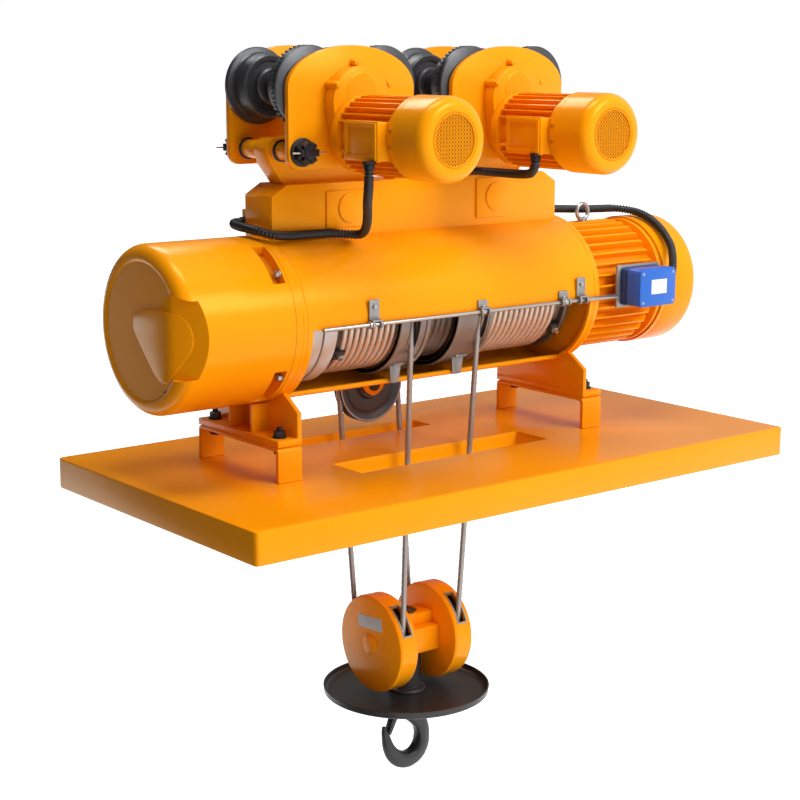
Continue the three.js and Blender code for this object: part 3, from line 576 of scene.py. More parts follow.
def build_foot(side):
    low, high = span(f"foot_{side}")
    flange, web, neck = 16, 12, 112
    web_low = high.x - web - 0.5 if side == "left" else low.x + 0.5
    shoulder = low.z + 75
    reach = math.degrees(math.acos(neck / SHELL_R))
    cradle = arc(AXIS, SHELL_R + 0.2, 270 - (90 - reach), 270 + (90 - reach), 24)
    seat, y0, y1 = low.z + flange - 1, low.y + 0.5, high.y - 0.5
    outline = [(y0, seat), (y1, seat), (y1, shoulder), *reversed(cradle), (y0, shoulder)]
    rib = 8
    bolt_x = (low.x + web_low) / 2 if side == "left" else (web_low + web + high.x) / 2
    parts = [
        prism(outline, "X", web_low, web_low + web, 1.2),
        block((low.x, low.y, low.z), (high.x, high.y, low.z + flange), 1.5),
    ]
    for y in (AXIS[0] - 50, AXIS[0] + 50 - rib):
        z = AXIS[1] - math.sqrt(SHELL_R**2 - 50**2) - 4
        ends = sorted((bolt_x - 18, web_low + web / 2))
        parts.append(block((ends[0], y, low.z + flange - 1), (ends[1], y + rib, z), 1.0))
    piece(f"foot_{side}_cradle", parts, PAINT, "frame", [f"foot_{side}"])
    bolts = []
    for y in (low.y + 34, high.y - 34):
        top = low.z + flange
        bolts.append(rod("Z", top, top + 4, 17, (bolt_x, y)))
        bolts.append(hexagon("Z", top + 4, top + 18, 24, (bolt_x, y)))
        bolts.append(rod("Z", top + 18, top + 25, 7, (bolt_x, y), 16))
        under = low.z - 10.3
        bolts.append(hexagon("Z", under - 13, under, 24, (bolt_x, y), "low"))
    piece(f"foot_{side}_bolts", bolts, BLACK_STEEL, "frame")


# ---------------------------------------------------------------- drum housing

# The front opening and the gear case's notches: where along X, and between which angles.
WINDOW = (-490.0, 400.0, 182.5, 248.0)
NOTCHES = ((114.0, 148.0), (210.0, 246.0), (32.0, 66.0), (294.0, 330.0))
NOTCH_X = (-581, -546)
# The gear case's end slopes back beyond LOBE_TURN from the axis, after a bend of LOBE_BEND.
LOBE_TURN, LOBE_SLOPE, LOBE_BEND = -108, 0.75, 26
LOBE_CUTS = [AXIS[0] + LOBE_TURN - LOBE_BEND * k / 6 for k in range(8)]


def build_shell():
    alongs = [shell_low.x, shell_low.x + 1.5, WINDOW[0], *range(-440, 400, 60), WINDOW[1],
              shell_high.x]
    angles = degrees(5, WINDOW[2], WINDOW[3])
    wall = rolled(alongs, angles, SHELL_R, 10, "X", AXIS, [WINDOW])
    piece("housing_shell", [wall], PAINT, "frame", ["drum_shell"], sharp=25, bevel=1.2)
    lip = 9
    lower = arc(AXIS, SHELL_R - 5, WINDOW[3], WINDOW[3], 1)[0]
    path = [Vector((x, *lower)) for x in (WINDOW[0], WINDOW[1])]
    piece("housing_window_lip", [swept(path, lambda i, d: circle((0, 0), lip * 0.7, 12))], PAINT,
          "frame")


def facet(y):
    """How far the gear case's sloping front facet lies behind its flat end."""
    past = max(0.0, LOBE_TURN - (y - AXIS[0]))
    return LOBE_SLOPE * (past**2 / (2 * LOBE_BEND) if past < LOBE_BEND else past - LOBE_BEND / 2)


def sliced(bm):
    """Edges across a solid wherever the sloping facet bends."""
    for y in LOBE_CUTS:
        bmesh.ops.bisect_plane(bm, geom=bm.verts[:] + bm.edges[:] + bm.faces[:], plane_co=(0, y, 0),
                               plane_no=(0, 1, 0))


def carved(bm, cutter):
    """A solid with another one cut out of it."""
    holders = []
    for part in (bm, cutter):
        mesh = bpy.data.meshes.new("carving")
        part.to_mesh(mesh)
        part.free()
        holder = bpy.data.objects.new("carving", mesh)
        bpy.context.scene.collection.objects.link(holder)
        holders.append(holder)
    body, tool = holders
    knife = body.modifiers.new("cut", "BOOLEAN")
    knife.operation = "DIFFERENCE"
    knife.object = tool
    mesh = evaluated(body)
    result = bmesh.new()
    result.from_mesh(mesh)
    for data in (mesh, *[holder.data for holder in holders]):
        bpy.data.meshes.remove(data)
    return result


def build_gear_case():
    fillet, thick, end = 32, 22, case_low.x
    inside = end + 68
    flat = SHELL_R - fillet
    cup = [(end + 4, 0), (end + 4, flat - 7), (end + 1, flat - 3),
           *rounded_end(end, SHELL_R, fillet, 1), (NOTCH_X[0], SHELL_R),
           (NOTCH_X[0], SHELL_R - thick), (inside, SHELL_R - thick), (inside, 0)]
    lobe = soften([(-60, 80), (-104, 96), (-142, 97), (-182, 85), (-215, 58), (-240, 0),
                   (-215, -68), (-168, -96), (-118, -92), (-60, -84)], 26, 5, closed=True)
    cutter = prism([(AXIS[0] + y, AXIS[1] + z) for y, z in lobe], "X", end - 40, end, 0.0)
    sliced(cutter)
    for vert in cutter.verts:
        if vert.co.x > end - 20:
            vert.co.x = end + 0.5 + facet(vert.co.y)
    solid = carved(lathe(cup, "X", AXIS, 128), cutter)
    angles = degrees(4, *[a for notch in NOTCHES for a in notch])
    windows = [(*NOTCH_X, a, b) for a, b in NOTCHES]
    rim = rolled([*NOTCH_X, case_high.x], angles, SHELL_R, thick, "X", AXIS, windows)
    piece("gear_case", [solid, rim], PAINT, "frame", ["gearbox_cover"], sharp=28)
    pockets, bolts = [], []
    for (a, b), spot_angle in zip(NOTCHES, (139, 219, 41, 321)):
        depth = SHELL_R - thick + 0.5
        turns = [a - 1 + (b - a + 2) * k / 8 for k in range(9)]
        pockets.append(rolled([NOTCH_X[0] - 1, NOTCH_X[1] + 1], turns, depth, 3, "X", AXIS))
        spot = arc(AXIS, SHELL_R - 11, spot_angle, 0, 1)[0]
        bolts.append(hexagon("X", NOTCH_X[1] - 13, NOTCH_X[1] - 3, 15, spot, "low"))
        bolts.append(rod("X", NOTCH_X[1] - 3, NOTCH_X[1] + 1, 9.5, spot, 24))
    # The notch pockets' darker orange is painted shade at the bottom of the recesses.
    piece("gear_case_pockets", pockets, PAINT_SHADE_AND_SEAM, "frame")
    piece("gear_case_bolts", bolts, BRIGHT_STEEL, "frame")
    seam = tube("X", NOTCH_X[1] + 8, NOTCH_X[1] + 10, SHELL_R - 1, SHELL_R + 0.4, AXIS, 128, 0.3)
    piece("gear_case_seam", [seam], PAINT_SHADE_AND_SEAM, "frame")


def build_case_relief():
    """A raised shield on the gear case's end that runs out over its sloping facet."""
    end = case_low.x
    shield = soften([(41, 489), (-19, 493), (-73, 495), (-94, 489), (-107, 474), (-115, 457),
                     (-119, 434), (-115, 411), (-104, 391), (-90, 371), (-77, 349), (-56, 331),
                     (-34, 331), (-5, 348), (31, 383), (60, 414), (84, 440), (78, 470)], 16, 3,
                    closed=True)
    raised = prism(shield, "X", end - 1, end + 8, 1.2)
    sliced(raised)
    for vert in raised.verts:
        vert.co.x += facet(vert.co.y)
    piece("gear_case_relief", [raised], PAINT, "frame", sharp=25)
    plug = (AXIS[0] - 98, AXIS[1] - 132)
    piece("gear_case_plug", [hexagon("X", end + 2, end + 12, 16, plug, "low")], BLACK_STEEL,
          "frame")


def build_housing_rings():
    low, high = span("gearbox_bulkhead")
    ring = soften([(low.x, 45.6), (low.x, SHELL_R), (high.x, SHELL_R), (high.x, 45.6)], 1.4, 2,
                  closed=True)
    piece("bulkhead", [lathe([*ring, ring[0]], "X", AXIS, 128)], PAINT, "frame",
          ["gearbox_bulkhead"])
    ring = soften([(flange_low.x, 45.6), (flange_low.x, SHELL_R), (flange_high.x - 2, SHELL_R),
                   (flange_high.x, SHELL_R - 5), (flange_high.x, 45.6)], 1.6, 2, closed=True)
    face = flange_high.x
    bolts = []
    for k in range(8):
        spot = arc(AXIS, SHELL_R - 14, 22.5 + 45 * k, 0, 1)[0]
        bolts.append(hexagon("X", face, face + 7, 13, spot))
    piece("flange_ring", [lathe([*ring, ring[0]], "X", AXIS, 128), *bolts], PAINT, "frame",
          ["motor_flange"])


# ---------------------------------------------------------------- hoist motor


def build_motor():
    root, tip, count = 147.0, (fins_high.y - fins_low.y) / 2, 36
    x0, x1 = fins_low.x, fins_high.x
    parts = [tube("X", x0, x1, 84, root, AXIS, 96),
             tube("X", x0, x0 + 16, 100, tip + 12, AXIS, 128, 3)]
    parts.append(tube("X", x1 - 14, x1, 100, tip, AXIS, 128, 3))
    half = 2.6
    side = [(x0 + 15, root - 3), (x0 + 15, tip), (x1 - 40, tip), (x1 - 18, root + 8),
            (x1 - 18, root - 3)]
    for k in range(count):
        turn = Matrix.Rotation(2 * math.pi * (k + 0.5) / count, 4, "X")
        fin = prism(side, "Y", -half, half, 0.8)
        parts.append(moved(fin, Matrix.Translation((0, *AXIS)) @ turn))
    piece("motor_barrel", parts, PAINT, "frame", ["motor_housing"])
    radius, fillet = (fan_high.y - fan_low.y) / 2, 30
    edge = reversed(rounded_end(fan_high.x, radius, fillet, -1))
    grille_r = 112
    cup = [(fan_low.x, radius - 5), (fan_low.x, radius), (fan_low.x + 12, radius),
           (fan_low.x + 14, radius - 1.5), (fan_low.x + 17, radius), *edge,
           (fan_high.x, grille_r + 3), (fan_high.x - 4, grille_r), (fan_high.x - 9, grille_r),
           (fan_high.x - 9, 0), (fan_high.x - 12, 0), (fan_high.x - 12, grille_r + 6),
           (fan_high.x - fillet, radius - 5), (fan_low.x, radius - 5)]
    piece("fan_cover", [lathe(cup, "X", AXIS, 128)], PAINT, "frame", ["motor_fan_cover"], sharp=28)
    build_grille("fan_grille", "X", fan_high.x - 8.5, fan_high.x - 1, AXIS, grille_r, 11)


def build_grille(name, axis, low, high, centre, radius, pitch):
    """Bars that cross over a dark disc of painted shade in the recess, in a round frame."""
    bars = []
    count = int(radius // pitch)
    plane = (low + high) / 2
    for k in range(-count, count + 1):
        reach = math.sqrt(max(radius**2 - (k * pitch) ** 2, 0))
        thick = pitch * 0.27
        for flat in (True, False):
            u = (-reach, reach) if flat else (k * pitch - thick, k * pitch + thick)
            v = (k * pitch - thick, k * pitch + thick) if flat else (-reach, reach)
            bars.append(block(
                at(axis, plane - 1.2, centre[0] + u[0], centre[1] + v[0]),
                at(axis, plane + 1.2, centre[0] + u[1], centre[1] + v[1]), 0.3, 1,
            ))
    bars.append(tube(axis, min(low, high), max(low, high), radius - 3, radius, centre, 64, 0.6))
    piece(name, bars, PAINT, "frame", sharp=30)
    # A dark disc behind the bars: painted shade in the recess.
    piece(name + "_recess", [rod(axis, low - 0.4, low + 0.4, radius - 1, centre, 48, 0.1)], SHADOW,
          "frame")


def build_lifting_eye():
    low, high = span("lifting_eye")
    centre = Vector(((low.x + high.x) / 2, (low.y + high.y) / 2, 0))
    thick = 5.5
    ring = (high.x - low.x) / 2 - thick
    eye_z = high.z - thick - ring
    loop = [Vector((centre.x + ring * math.cos(t), centre.y, eye_z + ring * math.sin(t)))
            for t in (2 * math.pi * k / 48 for k in range(48))]
    torus = swept([*loop, loop[0]], lambda i, d: circle((0, 0), thick, 12))
    spot = (centre.x, centre.y)
    foot = lathe(soften([(low.z - 3, 0), (low.z - 3, 13), (low.z + 4, 13), (low.z + 6, 8),
                         (eye_z - ring, 6.5), (eye_z - ring, 0)], 1, 2), "Z", spot, 32)
    piece("eye", [torus, foot], BRIGHT_STEEL, "frame", ["lifting_eye"])


def build_blue_box():
    low, high = span("limit_switch_box")
    x0, x1, z0, z1 = 520, 656, 400, 500
    lid, back, mid = low.y + 52, -136.5, Vector(((x0 + x1) / 2, 0, (z0 + z1) / 2))
    rim = soften(rectangle(x0, x1, z0, z1), 14, 5, closed=True)
    inset = soften(rectangle(x0 + 3, x1 - 3, z0 + 3, z1 - 3), 12, 5, closed=True)
    parts = [prism(inset, "Y", lid - 2, lid + 3, 0.5), prism(rim, "Y", lid + 2, back, 1.5)]
    ribs = [prism(inset, "Y", lid + 8 + 5 * k, lid + 10 + 5 * k, 0.4) for k in range(3)]
    for rib in ribs:
        bmesh.ops.scale(rib, vec=(1.055, 1, 1.075), verts=rib.verts,
                        space=Matrix.Translation(-mid))
    piece("switch_box", [prism(rim, "Y", low.y, lid, 4.0)], BLUE, "frame", ["limit_switch_box"])
    piece("switch_box_base", parts + ribs, BLUE_DARK, "frame")
    piece("switch_box_label", [block((562, low.y - 0.4, 433), (620, low.y + 1, 471), 0.4)],
          LABEL_WHITE, "frame")
    screws = [rod("Y", low.y - 0.6, low.y + 2, 4, (x, z), 20, 0.5) for x in (x0 + 12, x1 - 12)
              for z in (z0 + 12, z1 - 12)]
    piece("switch_box_screws", screws, BRIGHT_STEEL, "frame")
    arm = block((560, -131, 430), (616, AXIS[0] - (fins_high.y - fins_low.y) / 2 + 14, 470), 1.5)
    plate = block((low.x, back, low.z), (high.x, -130, high.z), 1.2)
    piece("switch_box_bracket", [plate, arm], TAB_STEEL, "frame")


# ---------------------------------------------------------------- drum, rope winding and guides

# The grooves' lead and the rope's radius on the drum. Per side along X: where the rope leaves the
# drum, where its winding ends, its hand, and its guide's tail. The hand changes at MIDDLE.
LEAD = 18.3
PITCH_R = 142.5
EXIT = {"left": -157.0, "right": 62.0}
RUN = {"left": -361.0, "right": 330.0}
HAND = {"left": 1.0, "right": -1.0}
TAIL = {"left": (-180.0, -143.0), "right": (21.0, 61.0)}
MIDDLE = -50.0


def groove_radius(x, turn):
    """The barrel's radius at a place on it: round grooves with a ridge between them."""
    side = "left" if x < MIDDLE else "right"
    step = (x - EXIT[side]) / LEAD - HAND[side] * (turn - math.pi) / (2 * math.pi)
    off = abs(step - round(step)) * LEAD
    return PITCH_R - math.sqrt(max((ROPE_R + 0.4) ** 2 - off**2, 1.3**2))


def build_drum():
    inner, collar, hub, bore, collar_x, barrel_x, end_x = 118, 162, 45, 24, -430, -395, 355
    segments, steps = 96, 330
    bm = bmesh.new()
    grooves = []
    for i in range(steps + 1):
        x = barrel_x + (end_x - barrel_x) * i / steps
        ring = []
        for k in range(segments):
            turn = 2 * math.pi * k / segments
            ring.append(bm.verts.new((x, *polar(AXIS, groove_radius(x, turn), turn))))
        grooves.append(ring)
    skin(bm, grooves)
    ends = soften([(barrel_x, 130), (barrel_x, collar), (collar_x, collar), (collar_x, hub),
                   (drum_low.x, hub), (drum_low.x, bore)], 1.5, 2)
    rim = soften([(end_x, 130), (end_x, collar - 12), (end_x + 15, collar - 12), (end_x + 15, hub),
                  (drum_high.x, hub), (drum_high.x, bore)], 1.5, 2)
    gear_x, gear_r, teeth = -620, 74, 74
    outline = cogs(teeth, gear_r - 2, gear_r + 1.6, AXIS)
    gear = prism(outline, "X", gear_x, gear_x + 28, 0.4, [circle(AXIS, hub - 1)])
    parts = [bm, lathe(ends, "X", AXIS, 96), lathe(rim, "X", AXIS, 96), gear,
             tube("X", barrel_x, end_x, inner, 133, AXIS, 64)]
    piece("drum_barrel", parts, DRUM_STEEL, "drum", ["drum"], sharp=40)
    rings = [tube("X", collar_x - 42, collar_x - 3, 138, collar - 2, AXIS, 96, 3),
             tube("X", collar_x - 1, barrel_x + 2, 120, collar + 0.5, AXIS, 96, 3)]
    piece("drum_collar", rings, COLLAR_STEEL, "drum", sharp=40)


def build_winding(side):
    """The wound rope, from where it leaves the drum to its clamped end."""
    first, last = EXIT[side], RUN[side]
    turns = abs(last - first) / LEAD
    count = int(turns * 120)
    path = []
    for k in range(count + 1):
        back = turns * 2 * math.pi * k / count
        x = first - HAND[side] * LEAD * back / (2 * math.pi)
        path.append(Vector((x, *polar(AXIS, PITCH_R, math.pi - back))))
    # The winding takes the rope colour with the painted orange reflection.
    winding = piece(f"winding_{side}", [rope(path)], ROPE_PAINTED_REFLECTION, "drum", [f"rope_winding_{side}"],
                    sharp=50)
    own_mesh(winding)
    outward = -1 if side == "left" else 1
    clamps, bolts = [], []
    for angle in (176, 215):
        x = last + outward * 6
        y, z = arc(AXIS, PITCH_R + 5, angle, 0, 1)[0]
        turn = turned("X", angle, (x, y, z))
        clamps.append(moved(block((-17, -7, -13), (17, 7, 13), 2.5), turn))
        bolts += [moved(hexagon("Y", 7, 18, 17, (0, 0)), turn),
                  moved(rod("Y", 7, 25, 5, (0, 0), 16), turn)]
    piece(f"rope_clamp_{side}", clamps, BLACK_STEEL, "drum")
    piece(f"rope_clamp_bolts_{side}", bolts, BRIGHT_STEEL, "drum")


def build_guide(side):
    low, high = span(f"rope_guide_{side}")
    exit_x = EXIT[side]
    inner, outer = 153, 167
    rim, lip = 12, 3
    slot = (exit_x - 12, exit_x + 12, 159.0, 212.0)
    alongs = sorted({low.x, low.x + rim, slot[0], slot[1], high.x - rim, high.x})
    body = rolled(alongs, degrees(6, slot[2], slot[3]), outer - lip, outer - lip - inner, "X", AXIS,
                  [slot])
    rims = [tube("X", x, x + rim, inner, outer, AXIS, 96, 1.5) for x in (low.x, high.x - rim)]
    frame_bars = [rolled([x, x + 5], range(156, 216, 4), outer - 1, 8, "X", AXIS)
                  for x in (slot[0] - 5, slot[1])]
    piece(f"guide_{side}_ring", [body, *rims, *frame_bars], GUIDE_STEEL, f"rope_guide_{side}",
          [f"rope_guide_{side}"], sharp=30, bevel=0.8)
    tail_low, tail_high = TAIL[side]
    corners = [(tail_low + 4, 254), (tail_high - 9, 254), (tail_high, 304), (tail_low, 304)]
    tail = prism(soften(corners, 4, 2, closed=True), "Y", -36, -31, 1)
    ear = block((tail_low + 2, -50, 300), (tail_high - 2, -31, 306), 2)
    piece(f"guide_{side}_tail", [tail, ear], TAB_STEEL, f"rope_guide_{side}")
    bolts = []
    for angle in (226, 232):
        spot = (exit_x + 24, *arc(AXIS, outer, angle, 0, 1)[0])
        bolts.append(moved(hexagon("Y", -5, 6, 13, (0, 0)), turned("X", angle, spot)))
    piece(f"guide_{side}_bolts", bolts, BRIGHT_STEEL, f"rope_guide_{side}")


def build_limit_rod():
    low, high = span("limit_rod")
    spot = middle("limit_rod", "yz")
    parts = [rod("X", low.x, high.x, 5, spot, 24)]
    parts += [rod("X", x - 8, x + 8, 9, spot, 24, 1.5) for x in (-330, 15, 300)]
    piece("limit_rod_bar", parts, BRIGHT_STEEL, "limit_rod", ["limit_rod"])
    tabs, screws, y = [], [], FRONT - 3
    for x, top in ((-317, 488), (22, 458), (297, 458), (360, 488)):
        tabs.append(block((x - 15, y - 2, 440), (x + 15, y + 2, top), 0.8))
        tabs.append(block((x - 15, spot[0] - 9, 437), (x + 15, y + 2, 441), 0.8))
        tabs += [tube("X", start, start + 6, 6.2, 11, spot, 24, 0.6) for start in (x - 15, x + 9)]
        screws.append(hexagon("Y", y - 8, y - 2, 10, (x, top - 17), "low"))
    piece("rod_tabs", tabs, TAB_STEEL, "frame")
    piece("rod_tab_screws", screws, BRIGHT_STEEL, "frame")


# ---------------------------------------------------------------- sheaves, falls of rope


HOOK_PITCH_R, EQUALIZER_PITCH_R = 96, 97


def sheave_profile(plane, half, outer, pitch, bore):
    """A turned sheave with a round groove, a thin web and a hub."""
    bottom = pitch - ROPE_R
    loop = [(plane - half, bore), (plane - half, bore + 18), (plane - 5, bore + 24),
            (plane - 5, bottom - 16), (plane - half + 2, bottom - 4), (plane - half, outer - 2),
            (plane - half + 3, outer)]
    loop += [(plane - ROPE_R - 1, bottom + 9), (plane - 5, bottom + 2), (plane, bottom),
             (plane + 5, bottom + 2), (plane + ROPE_R + 1, bottom + 9)]
    loop += [(2 * plane - x, r) for x, r in reversed(loop[:7])]
    return [*loop, loop[0]]


def build_equalizer():
    low, high = span("equalizer_sheave")
    centre = middle("equalizer_sheave", "xz")
    plane, outer = (low.y + high.y) / 2, (high.z - low.z) / 2
    wheel = lathe(sheave_profile(plane, 15, outer, EQUALIZER_PITCH_R, 19.5), "Y", centre, 96)
    piece("equalizer_wheel", [wheel], WHEEL_STEEL, "equalizer_sheave", ["equalizer_sheave"])
    rims = [tube("Y", y, y + 1.2, outer - 6, outer - 2.4, centre, 96, 0.3)
            for y in (low.y - 0.1, high.y - 1.1)]
    piece("equalizer_rims", rims, BRIGHT_STEEL, "equalizer_sheave")
    low, high = span("equalizer_bracket")
    z1 = AXIS[1] - 100
    cheeks = []
    for y0, y1 in ((low.y, low.y + 8), (high.y - 8, high.y)):
        top = z1 if y0 < plane else z1 + 62
        outline = soften([(centre[0] - 40, top), (centre[0] + 40, top), (centre[0] + 34, 190),
                          (centre[0], 168), (centre[0] - 34, 190)], 16, 4, closed=True)
        cheeks.append(prism(outline, "Y", y0, y1, 1.2))
    axle = [rod("Y", low.y - 4, high.y + 6, 18, centre, 32),
            hexagon("Y", high.y, high.y + 9, 34, centre)]
    piece("equalizer_cheeks", cheeks, PAINT, "frame", ["equalizer_bracket"])
    piece("equalizer_axle", axle, BLACK_STEEL, "frame")


def build_falls():
    """The free rope: four falls and the turn over the equalizer."""
    top = AXIS[1] - 2
    front_y = AXIS[0] - PITCH_R
    hand_over = -80.0
    centre = Vector((0, *middle("hook_sheave_left", "yz")))
    eq = Vector(middle("equalizer_sheave", "xyz"))
    for side, way in (("left", -1), ("right", 1)):
        plane = middle(f"hook_sheave_{side}", "x")[0]
        under = arc((centre.y, centre.z), HOOK_PITCH_R, 184, 354, 40)
        wrap = [Vector((plane, y, z)) for y, z in under]
        start = Vector((EXIT[side], front_y, top))
        share = (top - hand_over) / (top - wrap[0].z)
        change = start.lerp(wrap[0], share)
        upper = respaced([start, change], 8)
        lower = respaced([change, wrap[0]], 5)
        piece(f"fall_front_{side}_upper", [rope(upper)], FALL_STEEL, "frame", sharp=50,
              blend=(f"rope_guide_{side}", "frame", (0, 0, 0.33), (0, 0, hand_over * MM)))
        piece(f"fall_front_{side}_lower", [rope(lower, 5)], FALL_STEEL, "frame", sharp=50,
              blend=("frame", "hook_block", (0, 0, hand_over * MM), (0, 0, wrap[0].z * MM)))
        piece(f"fall_wrap_{side}", [rope(wrap)], FALL_STEEL, "hook_block", sharp=50)
        shoulder = Vector((eq.x + way * EQUALIZER_PITCH_R, eq.y, eq.z))
        piece(f"fall_rear_{side}", [rope([shoulder, wrap[-1]], 5)], FALL_STEEL, "frame", sharp=50,
              blend=("frame", "hook_block", (0, 0, 0.10), (0, 0, wrap[-1].z * MM)))
    over = [Vector((x, eq.y, z)) for x, z in arc((eq.x, eq.z), EQUALIZER_PITCH_R, 180, 0, 40)]
    piece("fall_over_equalizer", [rope(over)], FALL_STEEL, "frame", ["rope_falls"], sharp=50)


# ---------------------------------------------------------------- hook block


def build_casing(side):
    low, high = span(f"hook_casing_{side}")
    plane, *centre = middle(f"hook_casing_{side}", "xyz")
    radius, wall, cut = (high.z - low.z) / 2, 7, 7
    slots = [(plane - 12, plane + 12, a, b) for a, b in ((120.0, 158.0), (22.0, 60.0))]
    ends = [a for s in slots for a in s[2:]]
    alongs = [low.x + cut, plane - 12, plane + 12, high.x - cut]
    rim = rolled(alongs, degrees(5, *ends), radius, wall, "X", centre, slots)
    bore = 26.6
    faces = []
    for outer_x, inner_x in ((low.x, low.x + cut), (high.x, high.x - cut)):
        step = 1 if inner_x > outer_x else -1
        ring = [(outer_x, bore), (outer_x, radius - cut - 1),
                (outer_x + step * cut * 0.3, radius - cut * 0.3), (inner_x, radius),
                (inner_x + step * 0.5, radius), (inner_x + step * 0.5, radius - wall),
                (outer_x + step * wall, radius - wall - 4), (outer_x + step * wall, bore),
                (outer_x, bore)]
        faces.append(lathe(ring, "X", centre, 112))
    piece(f"casing_{side}", [rim, *faces], PAINT, "hook_block", [f"hook_casing_{side}"], sharp=28,
          bevel=0.8)
    frames = []
    for _, _, a, b in slots:
        reach = [a - 2 + (b - a + 4) * k / 10 for k in range(11)]
        bars = [(plane - 16, plane - 12, reach), (plane + 12, plane + 16, reach)]
        bars += [(plane - 16, plane + 16, [edge, edge + 1, edge + 2]) for edge in (a - 2, b)]
        frames += [rolled([x0, x1], turns, radius + 1.5, 4, "X", centre) for x0, x1, turns in bars]
    piece(f"casing_{side}_slot_frames", frames, TAB_STEEL, "hook_block", sharp=30, bevel=0.5)
    wheel_low, wheel_high = span(f"hook_sheave_{side}")
    wheel = lathe(sheave_profile(plane, 18, (wheel_high.z - wheel_low.z) / 2, HOOK_PITCH_R, bore),
                  "X", centre, 96)
    piece(f"hook_wheel_{side}", [wheel], WHEEL_STEEL, f"hook_sheave_{side}",
          [f"hook_sheave_{side}"])
    out = -1 if side == "left" else 1
    face = low.x if side == "left" else high.x
    boss = soften([(face - out, 0), (face - out, 27), (face + out * 3, 27), (face + out * 4, 22),
                   (face + out * 6, 21), (face + out * 6, 0)], 1, 2)
    piece(f"casing_{side}_boss", [lathe(boss, "X", centre, 48)], PAINT, "hook_block")
    tag = moved(block((-0.8, -50, -17), (0.8, 50, 17), 0.5),
                turned("X", -4, (face, centre[0], centre[1] + 58)))
    piece(f"casing_{side}_label", [tag], LABEL, "hook_block")


def build_crosshead():
    x, y = middle("crosshead", "xy")
    z = middle("hook_sheave_left", "z")[0]
    inside = 60.7
    parts = [
        block((x - inside, y - 62, z - 34), (x + inside, y + 62, z + 34), 3),
        block((x - inside, y - 34, z + 30), (x + inside, y + 34, z + 66), 3),
    ]
    piece("crosshead_block", parts, PAINT, "hook_block", ["crosshead"])
    neck = [(tray_low.z + 4.3, 0), (tray_low.z + 4.3, 52), (tray_low.z + 12, 50),
            (tray_low.z + 16, 40), (z - 40, 38), (z - 32, 44), (z - 32, 0)]
    nut = hexagon("Z", z + 60, z + 74, 46, (x, y))
    piece("crosshead_neck", [lathe(soften(neck, 2, 2), "Z", (x, y), 48), nut], HOOK_STEEL,
          "hook_block")


def build_tray():
    centre = middle("hook_tray", "xy")
    radius = (tray_high.x - tray_low.x) / 2
    z0, z1 = tray_low.z, tray_high.z
    loop = soften([(z0, 24), (z0, radius - 8), (z0 + 4, radius - 1.5), (z1 - 3, radius - 1.5),
                   (z1 - 3, radius), (z1, radius), (z1, radius - 5), (z0 + 9, radius - 5),
                   (z0 + 4, radius - 12), (z0 + 4, 24)], 1.6, 3, closed=True)
    piece("tray_dish", [lathe([*loop, loop[0]], "Z", centre, 128)], HOOK_STEEL, "hook_block",
          ["hook_tray"])
    ring = tube("Z", z0 - 6, z0, 24, 60, centre, 64, 1.5)
    piece("tray_washer", [ring], BLACK_STEEL, "hook_block")


